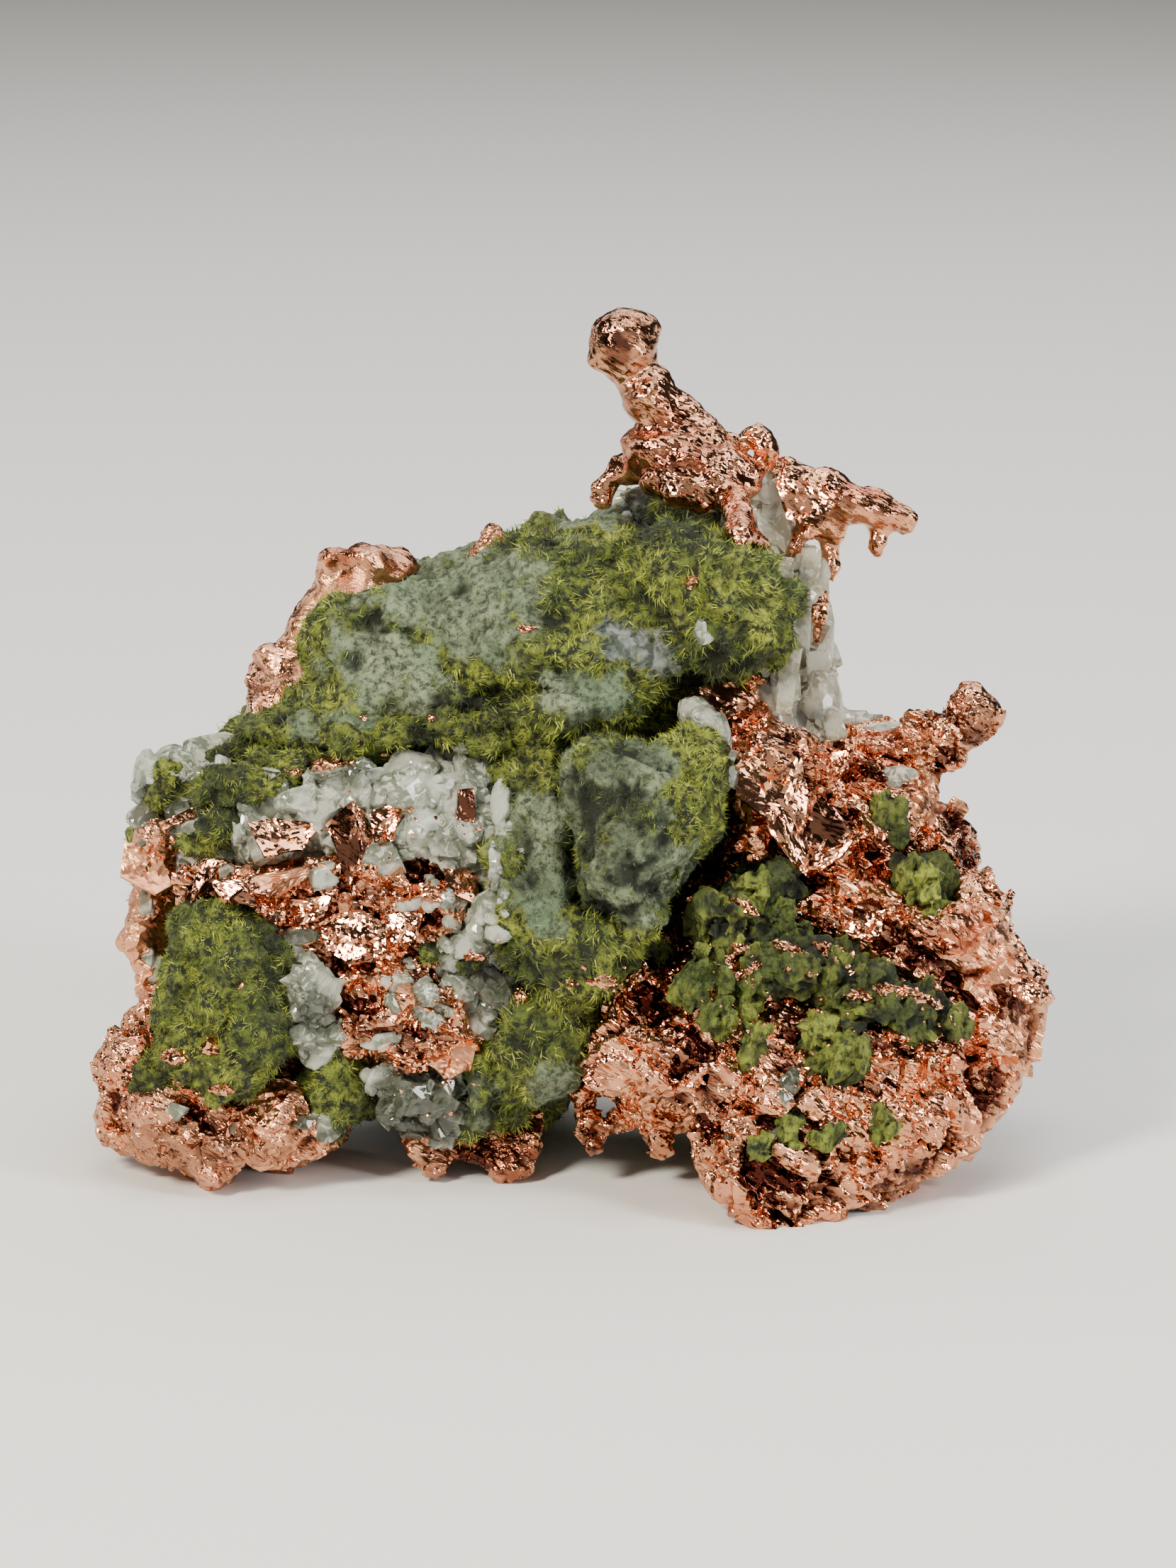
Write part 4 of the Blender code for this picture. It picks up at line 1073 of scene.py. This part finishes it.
class SPECIMEN_OT_epidote(bpy.types.Operator):
    """Grows the mossy clumps in the copper"""

    bl_idname = "specimen.epidote"
    bl_label = "Epidote clumps"

    mossy = ("epidote_patch_left", "epidote_tuft_left")
    blocky = ("epidote_vein_right", "epidote_tablet_right")
    clumps = (
        (9.2, 38.4, 1.6, 2.6, 20), (8.4, 35, 1.6, 2.2, 20), (-36.6, 12.4, 2.4, 1.2),
        (-35.4, 37.2, 1.6, 1.9), (-29.4, 39.6, 3.0, 2.0), (-28.6, 37.2, 2.6, 1.7),
        (-31.2, 37.0, 2.2, 2.2), (-31.2, 34.2, 2.2, 1.7), (-32.8, 32.2, 1.7, 1.1),
        (-26.2, 38.8, 2.2, 1.6), (-24.2, 40.6, 2.6, 1.2), (-20.4, 41.2, 2.6, 1.2),
        (-16.4, 41.6, 2.6, 1.2), (-12.0, 42.4, 2.2, 1.2), (-8.4, 41.6, 1.8, 1.6),
        (-26.8, 22.6, 1.6, 2.6), (-6.6, 31, 0.8, 1.6), (-10.6, 22.4, 1.6, 1.2),
        (-12.8, 23.2, 1.2, 0.9), (-6.4, 23.4, 1.6, 1.4), (-21.4, 12.6, 1.4, 1.8),
    )
    chunks = (
        (10.2, 26.2, 1.3, 2.0, 10), (12.4, 25.2, 1.1, 1.7, -10), (15.6, 26.4, 1.7, 1.1, 20),
        (17.3, 25.0, 1.4, 1.7), (13.9, 28.2, 1.7, 1.8, 0, 0.7), (15.0, 22.6, 1.8, 1.5, -20),
        (18.2, 21.8, 1.8, 1.6, -12), (21.8, 21.6, 1.9, 1.1, -20), (9.2, 21.0, 1.5, 2.6, -20, 1.1),
        (10.9, 21.5, 1.2, 2.1, 10, 1.1), (12.9, 19.2, 2.0, 1.6, 50, 1.1),
        (11.2, 17.7, 1.9, 1.6, 20, 1.1),
        (14.1, 15.4, 1.3, 1.9), (19.6, 16.3, 1.7, 1.5, -20), (22.0, 14.2, 1.8, 2.0, 30),
        (24.4, 18.4, 1.9, 1.4, -14), (27.4, 17.6, 1.8, 1.6, -14), (30.4, 16.9, 1.7, 1.8, -30),
        (27.9, 29.9, 1.6, 2.0), (28.6, 27.2, 1.4, 2.2, 8), (25.3, 34.8, 1.2, 1.5),
        (26.4, 33.3, 1.0, 1.2), (25, 8.6, 1, 1.4), (20.5, 7.6, 1.3, 1.1), (15, 6.6, 1.4, 0.9),
        (17.4, 8.6, 1.2, 1.6),
    )

    def execute(self, context):
        settings = context.scene.specimen_green
        moss = epidote_mass("mossy epidote", settings, 0.52, (1, 1, 1))
        fibrous = epidote_mass("fibrous epidote", settings, 0.46, (0.7, 0.7, 1.4))
        soft = ((cushions, 2.4, 1.1, 1.0), (cushions, 1.1, 0.6, 1.0), (hills, 0.6, 0.25, 1.0))
        split = ((facets, 3.4, 1.6, 1.0), (facets, 1.5, 0.8, 1.0), (facets, 0.7, 0.3, 1.0))
        for number, node in enumerate(self.mossy):
            self.grow(bare_copy(node, 0.28), soft, 30 + number, moss, node)
        for number, node in enumerate(self.blocky):
            self.grow(bare_copy(node, 0.28), split, 33 + number, fibrous, node)
        self.grow(lumps("epidote_clumps", self.clumps, 70, 4, 6, 0.15, 0.6), soft, 71, moss)
        layers = ((facets, 2.0, 1.1, 1.0), (facets, 0.8, 0.35, 1.0), (hills, 0.4, 0.12, 1.0))
        chunks = lumps("epidote_chunks", self.chunks, 72, 4, 7, 0.1, 0.8)
        self.grow(chunks, layers, 73, fibrous)
        return {"FINISHED"}

    def grow(self, obj, layers, seed, material, node=None):
        sculpt(obj, layers, 0.25 if node else 0, None, seed)
        # The vein and the tablet are pushed dark all over: painted shade under and between the chunks.
        keep_value(obj, "tone", tone_of(points_of(obj)) - (1.0 if node in self.blocky else 0))
        settle(obj, material, node)


class SPECIMEN_OT_copper_crystals(bpy.types.Operator):
    """Sets the leaves, crystals and nuggets of copper into the quartz and the rock"""

    bl_idname = "specimen.copper_crystals"
    bl_label = "Copper crystals"

    # Corners of each leaf: u, v and how far it stands out towards the viewer.
    leaves = (
        ((-19.9, 36.0, 1.2), (-18.9, 34.2, 0.6), (-18.6, 32.4, 0.6), (-20.2, 28.8, 1.6),
         (-21.4, 32, 1.0), (-22.2, 34, 0.4)),
        ((-19.8, 35.8, 1.2), (-18.4, 34.6, 0.2), (-18.1, 32.5, 0.5), (-19.3, 31.6, 1.4)),
        ((-18.5, 35.1, 0.4), (-15.7, 35.7, 1.0), (-16.5, 32.6, 1.5), (-18.0, 32.4, 1.1)),
        ((-11.0, 36.9, 0.8), (-9.7, 37.1, 0.5), (-9.5, 34.1, 0.9), (-11.2, 34.4, 1.2)),
        ((-28.8, 34.0, 0.3), (-26.4, 34.5, 0.2), (-22.6, 33.9, 0.2), (-24.2, 31.9, 1.5),
         (-27.4, 31.2, 1.9)),
        ((-32.2, 29.4, 1.0), (-28.7, 29.2, 1.3), (-28.0, 27.0, 2.0), (-30.9, 27.5, 1.5)),
        ((-28.9, 29.4, 0.6), (-23.2, 30.5, 0.4), (-24.1, 29.4, 1.2), (-26.5, 27.8, 2.0),
         (-28.5, 28.2, 1.6)),
        ((-33.3, 29.6, 0.5), (-32.2, 31.0, 0.2), (-30.9, 30.6, 0.4), (-31.8, 28.9, 1.4),
         (-33.6, 27.1, 1.0)),
        ((-28.4, 27.9, 0.3), (-26.7, 27.7, 0.8), (-26.2, 25.3, 1.5), (-27.4, 26, 1.0)),
        ((-25.3, 27.6, 0.3), (-21.7, 28.0, 1.2), (-22.4, 26.2, 1.4), (-24.6, 25.3, 1.0)),
        ((-12.4, 31.2, 0.6), (-10.9, 30.4, 0.3), (-9.4, 29.7, 0.4), (-9.7, 27.3, 1.6),
         (-12.0, 28.4, 1.4)),
        ((-22.8, 25.6, 0.2), (-19.9, 27.2, 0.6), (-17.2, 25.6, 1.6), (-17.0, 23.0, 2.2),
         (-19.9, 22.1, 1.7), (-22.0, 23.2, 0.9)),
        ((-17.2, 26.6, 0.2), (-14.0, 26.4, 1.1), (-14.6, 24.2, 1.4), (-16.6, 23.8, 0.9)),
        ((-13.9, 13.9, 0.8), (-11.8, 15.6, 0.3), (-9.4, 15.5, 0.2), (-9.9, 13.3, 1.2),
         (-11.8, 12.3, 1.6)),
        ((-16.8, 14.4, 0.4), (-13.4, 15.0, 0.3), (-13.6, 13.0, 1.2), (-16.2, 12.8, 1.2)),
        ((-39.2, 32.4, 0.2), (-36.4, 31.9, 0.1), (-35.2, 28.8, 1.4), (-36.6, 28.0, 2.0),
         (-39.6, 29.6, 1.4)),
        ((-36.3, 34.1, 0.5), (-33.2, 35.4, 0.4), (-33.4, 34.5, 0.9), (-35.9, 33.5, 1.0)),
        ((12.5, 36.5, 1.8), (12.9, 38.9, 0.7), (15.0, 40.3, 0.3), (18.0, 39.6, 0.3),
         (18.6, 36.8, 0.6), (18.2, 33.2, 1.2), (18.5, 29.8, 2.6), (16.4, 32.6, 2.5),
         (14.9, 34.6, 2.2)),
        ((18.3, 37.0, 0.1), (20.4, 35.7, 0.0), (22.6, 33.2, 0.6), (21.4, 32.0, 1.0),
         (18.6, 30.9, 1.2), (18.2, 34.2, 0.7)),
        ((18.5, 31.4, 0.8), (21.6, 32.3, 1.5), (23.0, 33.4, 1.6), (21.4, 31.1, 1.7),
         (18.6, 29.4, 1.3)),
        ((13.6, 37.0, 0.2), (14.6, 36.6, 0.5), (16.6, 33.8, 1.8), (18.7, 31.0, 2.9),
         (18.5, 29.6, 3.2), (17.4, 30.6, 2.6), (15.2, 33.6, 1.4), (13.6, 35.8, 0.4)),
        ((13.8, 42.2, 0.6), (17.6, 40.6, 1.4), (17.2, 39.8, 1.5), (14.2, 41.0, 0.9)),
        ((15.9, 63.0, 0.1), (17.6, 63.6, 0.3), (21.0, 61.2, 1.2), (19.6, 59.0, 1.5),
         (16.9, 59.8, 0.8)),
        ((35.2, 21.2, 0.2), (37.0, 21.6, 0.6), (38.4, 20.2, 1.2), (38.2, 18.8, 1.4),
         (36.8, 19.0, 1.0), (35.4, 19.8, 0.5)),
        ((9.4, 45.6, 0.3), (12.2, 46.0, 0.2), (13.6, 44.0, 0.8), (11.4, 42.6, 1.4),
         (9.9, 43.4, 1.0)),
        ((19.3, 39.8, 0.4), (21.9, 40.2, 1.0), (22.0, 38.4, 1.5), (19.9, 37.6, 1.1)),
        ((21.4, 25.4, 0.4), (23.6, 26.4, 0.8), (25.4, 26.8, 1.3), (24.6, 24.6, 1.5),
         (22.4, 24.2, 1.0)),
        ((-37.2, 28.8, 3.5), (-34.6, 29.4, 1.0), (-33.9, 25.0, 0.6), (-34.2, 20.4, 0.4),
         (-36.2, 19.8, 2.5), (-37.2, 24.0, 3.5)),
    )
    nuggets = (
        (-21.6, 38.9, 1.8, 0.9, 10), (-24.9, 38.4, 0.8, 0.35), (-17.4, 40.0, 0.7, 0.35),
        (9, 54.5, 0.7, 0.6), (-5, 50.6, 0.9, 0.35), (-19, 43, 0.5, 0.3), (-13, 43, 0.5, 0.4),
        (-31.6, 15.3, 1.1, 0.9), (-34.8, 14.2, 1.2, 0.8), (-29.6, 20.4, 0.8, 0.5),
        (-31, 11.6, 1, 0.4), (9, 45, 1.4, 1), (19.6, 52.6, 1.1, 1.5), (20.9, 53.4, 1, 0.4, 25),
        (19.4, 49.9, 0.8, 1.3), (-5.6, 19.2, 0.7, 1), (-1.6, 20.4, 1.2, 0.6, 20),
        (1.4, 20.6, 1.3, 0.6), (4.4, 21, 1.4, 1.2), (7.2, 24.2, 1.3, 1.3), (-39, 12.4, 0.7, 0.9),
        (-38.4, 19.2, 0.7, 0.8), (-9.6, 22.8, 0.8, 0.4), (12.6, 23.6, 1.6, 0.5, -10),
        (15.6, 18.6, 1.9, 0.6, 10), (19, 18.6, 2.2, 0.6, -10), (18.2, 13.4, 0.9, 1.4),
        (24.6, 14.6, 1.8, 0.8, -15), (25.6, 19.9, 1.6, 0.6, -14), (13.2, 27.0, 1.3, 0.5, -30),
        (16.9, 23.4, 1.7, 0.5, -20), (20.2, 23.4, 1.4, 0.6, -15), (22.6, 19.8, 1.3, 0.6, -15),
        (27.4, 19.6, 1.3, 0.5, -15), (13.6, 21.6, 1.2, 0.5, 30),
        (26.2, 16.0, 1.2, 0.5, -10), (29.2, 18.8, 1.0, 0.5, -20), (18.0, 26.6, 0.9, 0.5, 40),
    )
    # Leaf faces that are smooth and dark.
    dark = (
        (-20.5, 32.4, 1.4, 3.6), (-10.3, 35.6, 1.2, 1.8), (20.2, 33.8, 1.8, 2.6),
        (-32.4, 29, 0.8, 1.6), (11.3, 44.6, 1.6, 1.2), (-18.6, 34, 0.5, 1),
    )
    # Leaf faces that are worn to a satin.
    pale = ((-37.6, 26, 4, 9), (-25.6, 29.4, 3, 1.4), (-11, 14, 2.4, 1.6))
    # Where flecks of copper show between the other minerals.
    flecked = (
        (-12, 24, 5, 6), (-18, 33, 9, 4), (16, 20, 8, 6), (27, 17, 5, 3),
        (-18, 41, 6, 1), (2, 20.5, 5, 2), (-14, 12, 5, 3),
    )

    def execute(self, context):
        settings = context.scene.specimen_copper
        leaf = native_copper("copper leaf", settings, 1.2, 0.12, 0.1, 0.05)
        obj = self.leafage("copper_leaves", settings.leaf)
        settle(obj, leaf)
        nuggets = lumps("copper_nuggets", self.nuggets, 80, 4, 8)
        sculpt(nuggets, ((facets, 0.9, 0.3, 1.0), (facets, 0.45, 0.14, 1.0)), 0, None, 81)
        modify(nuggets, "DECIMATE", ratio=0.45)
        spots = strewn(self.flecked, 150, 0.1, 0.28, 82)
        flecks = lumps("copper_flecks", spots, 83, 2, 8, 0.6)
        for piece in (nuggets, flecks):
            settle(piece, leaf)
        return {"FINISHED"}

    def leafage(self, name, thickness):
        """Thin leaves with listed corners, crumpled and given their thickness."""
        front = Front()
        points = []
        faces = []
        for corners in self.leaves:
            middle = np.mean(corners, axis=0)
            depth = front.depth(middle[0], middle[1])
            faces.append(range(len(points), len(points) + len(corners)))
            points += [at(u, v, depth - out) for u, v, out in corners]
        obj = new_piece(name, points, faces)
        only(obj)
        bpy.ops.object.mode_set(mode="EDIT")
        bpy.ops.mesh.select_all(action="SELECT")
        bpy.ops.mesh.poke()
        bpy.ops.mesh.subdivide(number_cuts=7)
        bpy.ops.object.mode_set(mode="OBJECT")
        dark = zone(points_of(obj), self.dark, 0.5, 1.0)
        pale = zone(points_of(obj), self.pale, 0.3, 1.0)
        sculpt(obj, ((facets, 1.8, 0.3, 1.6), (facets, 0.8, 0.08, 2.2)), 0, dark * 0.7, 84)
        keep_value(obj, "tarnish_and_shade", dark * 0.8)
        keep_value(obj, "sleek", dark)
        keep_value(obj, "satin", pale)
        modify(obj, "SOLIDIFY", thickness=thickness, offset=0)
        return obj


def scatter(carriers, count, seed, weigh):
    """Random places on the carriers' faces, with their normals, heights and crust."""
    rng = np.random.default_rng(seed)
    corners = []
    heights = []
    crusts = []
    for carrier in carriers:
        carrier.data.calc_loop_triangles()
        index = np.empty(len(carrier.data.loop_triangles) * 3, dtype=np.int32)
        carrier.data.loop_triangles.foreach_get("vertices", index)
        corners.append(points_of(carrier)[index].reshape(-1, 3, 3))
        heights.append(kept_value(carrier, "height")[index].reshape(-1, 3).mean(axis=1))
        crusts.append(kept_value(carrier, "crust")[index].reshape(-1, 3).mean(axis=1))
    corners = np.concatenate(corners)
    crusts = np.concatenate(crusts)
    cross = np.cross(corners[:, 1] - corners[:, 0], corners[:, 2] - corners[:, 0])
    area = np.linalg.norm(cross, axis=1)
    weight = area * (1 - 0.88 * crusts) * weigh(corners.mean(axis=1))
    chosen = rng.choice(len(area), count, p=weight / weight.sum())
    mix = rng.dirichlet((1, 1, 1), count)
    places = (corners[chosen] * mix[:, :, None]).sum(axis=1)
    normals = cross[chosen] / np.maximum(area[chosen], 1e-12)[:, None]
    return places, normals, np.concatenate(heights)[chosen], crusts[chosen], rng


def one_needle():
    """The needle that the tufts repeat: a three-sided spike, one unit long."""
    bpy.ops.object.select_all(action="DESELECT")
    bpy.ops.mesh.primitive_cone_add(
        vertices=3, radius1=0.5, radius2=0, depth=1, end_fill_type="NOTHING", location=(0, 0, 0.5)
    )
    needle = bpy.context.object
    bpy.ops.object.transform_apply(location=True, rotation=True, scale=True)
    points = points_of(needle)
    faces = np.array([list(face.vertices) for face in needle.data.polygons])
    bpy.data.objects.remove(needle)
    return points, faces


def tufts(name, carriers, count, size, seed, weigh, material):
    """Short needles that lie over the carriers in combed tufts."""
    places, normals, heights, crusts, rng = scatter(carriers, count, seed, weigh)
    shape, faces = one_needle()
    comb = np.array([noise.noise_vector(Vector(place) / (2.0 * MM)) for place in places])
    aim = comb * 2.4 + rng.normal(0, 0.4, places.shape) + (0, 0, -0.2)
    aim -= normals * (aim * normals).sum(axis=1)[:, None]
    aim += normals * rng.uniform(0.3, 1.0, count)[:, None]
    aim /= np.linalg.norm(aim, axis=1)[:, None]
    side = np.cross(aim, rng.normal(size=places.shape))
    side /= np.linalg.norm(side, axis=1)[:, None]
    other = np.cross(aim, side)
    long = size * rng.uniform(0.5, 1.3, count) * (1 - 0.35 * crusts)
    wide = long * rng.uniform(0.12, 0.22, count)
    flat = wide * rng.uniform(0.4, 0.9, count)
    points = (
        places[:, None] - normals[:, None] * 0.1 * MM
        + side[:, None] * (shape[None, :, 0, None] * wide[:, None, None])
        + other[:, None] * (shape[None, :, 1, None] * flat[:, None, None])
        + aim[:, None] * (shape[None, :, 2, None] * long[:, None, None])
    ).reshape(-1, 3)
    points[:, 2] = np.maximum(points[:, 2], 0.02 * MM)
    index = faces[None] + (np.arange(count) * len(shape))[:, None, None]
    obj = new_piece(name, points, index.reshape(-1, 3))
    broad = np.array([noise.noise(Vector(place) / (5.0 * MM)) for place in places])
    tuft = np.array([noise.noise(Vector(place) / (1.3 * MM)) for place in places])
    # Random tufts and patches, with painted shade on needles low in the hollows and the tone's painted light and
    # shade.
    lean = broad * 0.35 + tuft * 1.15 + heights * 0.45 + tone_of(places) * 0.3
    shade = np.clip(0.5 + lean + rng.normal(0, 0.1, count), 0, 1)
    keep_value(obj, "shade", np.repeat(shade, len(shape)))
    crusts = np.clip(crusts * 1.4 - rng.uniform(0, 0.6, count), 0, 1)
    keep_value(obj, "crust", np.repeat(crusts, len(shape)))
    settle(obj, material)


class SPECIMEN_OT_needles(bpy.types.Operator):
    """Covers the green rock and the clumps with epidote needles"""

    bl_idname = "specimen.needles"
    bl_label = "Needles"

    def execute(self, context):
        settings = context.scene.specimen_green
        material = epidote_needle("epidote needles", settings)
        rock = [bpy.data.objects["green_matrix_rock_surface"]]
        tufts(
            "epidote_needles_rock", rock, settings.count, settings.needle, 5, self.bare, material
        )
        clumps = (
            "epidote_patch_left_surface", "epidote_tuft_left_surface", "green_nodule_surface",
            "epidote_clumps",
        )
        chunks = (
            "epidote_vein_right_surface", "epidote_tablet_right_surface", "epidote_chunks",
        )
        size = settings.needle
        for name, carriers, count, share, seed in (
            ("epidote_needles_clumps", clumps, settings.count * 5 // 8, 0.75, 6),
            ("epidote_needles_chunks", chunks, settings.count // 16, 0.35, 7),
        ):
            carriers = [bpy.data.objects[carrier] for carrier in carriers]
            tufts(name, carriers, count, size * share, seed, self.everywhere, material)
        return {"FINISHED"}

    def everywhere(self, points):
        return np.ones(len(points))

    def bare(self, points):
        """How thickly needles cover the rock: hardly in the quartz, and less behind."""
        front = np.where(seen(points)[2] < 4, 1.0, 0.3)
        return front * (1 - 0.96 * zone(points, WINDOWS, 0.8, 1.0))


def softbox(name, place, aim, width, height, glow, colour=WHITE):
    """A soft light. glow is its brightness, the same whatever its size."""
    light = bpy.data.lights.new(name, "AREA")
    light.color = colour
    light.shape = "RECTANGLE"
    light.size = width
    light.size_y = height
    light.energy = glow * math.pi * width * height
    obj = bpy.data.objects.new(name, light)
    obj.location = place
    obj.rotation_euler = (Vector(aim) - Vector(place)).to_track_quat("-Z", "Y").to_euler()
    bpy.context.scene.collection.objects.link(obj)


class SPECIMEN_OT_stage(bpy.types.Operator):
    """Sets the pale floor, the soft lights and the camera"""

    bl_idname = "specimen.stage"
    bl_label = "Stage"

    def execute(self, context):
        bpy.ops.object.select_all(action="DESELECT")
        bpy.ops.mesh.primitive_plane_add(size=6, location=(0, 1.5, 0))
        floor = context.object
        floor.name = "floor"
        bpy.ops.object.transform_apply(location=True, rotation=True, scale=True)
        material, tree, shader, _ = new_material("pale matt paper")
        shader.inputs["Base Color"].default_value = (*linear("#EBEAE6"), 1)
        shader.inputs["Roughness"].default_value = 0.9
        shader.inputs["Specular IOR Level"].default_value = 0.1
        floor.data.materials.append(material)
        middle = (0, 0, 0.035)
        softbox("top", (0.05, -0.05, 0.6), middle, 0.4, 0.3, 5.5)
        softbox("key", (-0.34, -0.42, 0.45), middle, 0.15, 0.15, 95.0, (1.0, 0.92, 0.78))
        softbox("right", (0.5, -0.35, 0.3), middle, 0.12, 0.5, 22.0)
        softbox("front", (0.0, -0.95, 0.4), middle, 1.1, 0.7, 0.7)
        softbox("rim", (-0.5, 0.3, 0.3), middle, 0.15, 0.4, 6.0)
        softbox("back", (0.15, 0.45, 0.5), middle, 0.7, 0.3, 3.5)
        world = bpy.data.worlds.new("studio")
        world.use_nodes = True
        background = world.node_tree.nodes["Background"]
        background.inputs["Color"].default_value = (1, 1, 1, 1)
        background.inputs["Strength"].default_value = 0.05
        context.scene.world = world
        camera = bpy.data.cameras.new("camera")
        camera.sensor_width = 36
        camera.lens = 36 * VIEW_DISTANCE / FRAME_HEIGHT
        camera.clip_end = 20
        eye = bpy.data.objects.new("camera", camera)
        eye.location = (AIM - AWAY * VIEW_DISTANCE) * MM
        eye.rotation_euler = Vector(AWAY).to_track_quat("-Z", "Y").to_euler()
        context.scene.collection.objects.link(eye)
        context.scene.camera = eye
        return {"FINISHED"}


OPERATORS = (
    SPECIMEN_OT_copper,
    SPECIMEN_OT_green_rock,
    SPECIMEN_OT_quartz,
    SPECIMEN_OT_epidote,
    SPECIMEN_OT_copper_crystals,
    SPECIMEN_OT_needles,
    SPECIMEN_OT_stage,
)


class SPECIMEN_PT_sidebar(bpy.types.Panel):
    """The specimen's surfaces, in the order they are grown"""

    bl_idname = "SPECIMEN_PT_sidebar"
    bl_label = "Native Copper Specimen"
    bl_space_type = "VIEW_3D"
    bl_region_type = "UI"
    bl_category = "Specimen"

    def draw(self, context):
        for operator in OPERATORS:
            self.layout.operator(operator.bl_idname)


SETTINGS = (
    ("specimen_copper", CopperSettings),
    ("specimen_green", GreenSettings),
    ("specimen_quartz", QuartzSettings),
)


def register():
    for name, group in SETTINGS:
        bpy.utils.register_class(group)
        setattr(bpy.types.Scene, name, PointerProperty(type=group))
    for operator in OPERATORS:
        bpy.utils.register_class(operator)
    bpy.utils.register_class(SPECIMEN_PT_sidebar)


def unregister():
    bpy.utils.unregister_class(SPECIMEN_PT_sidebar)
    for operator in reversed(OPERATORS):
        bpy.utils.unregister_class(operator)
    for name, group in reversed(SETTINGS):
        delattr(bpy.types.Scene, name)
        bpy.utils.unregister_class(group)


def main():
    register()
    bpy.ops.specimen.copper()
    bpy.ops.specimen.green_rock()
    bpy.ops.specimen.quartz()
    bpy.ops.specimen.epidote()
    bpy.ops.specimen.copper_crystals()
    bpy.ops.specimen.needles()
    bpy.ops.specimen.stage()


if __name__ == "__main__":
    main()
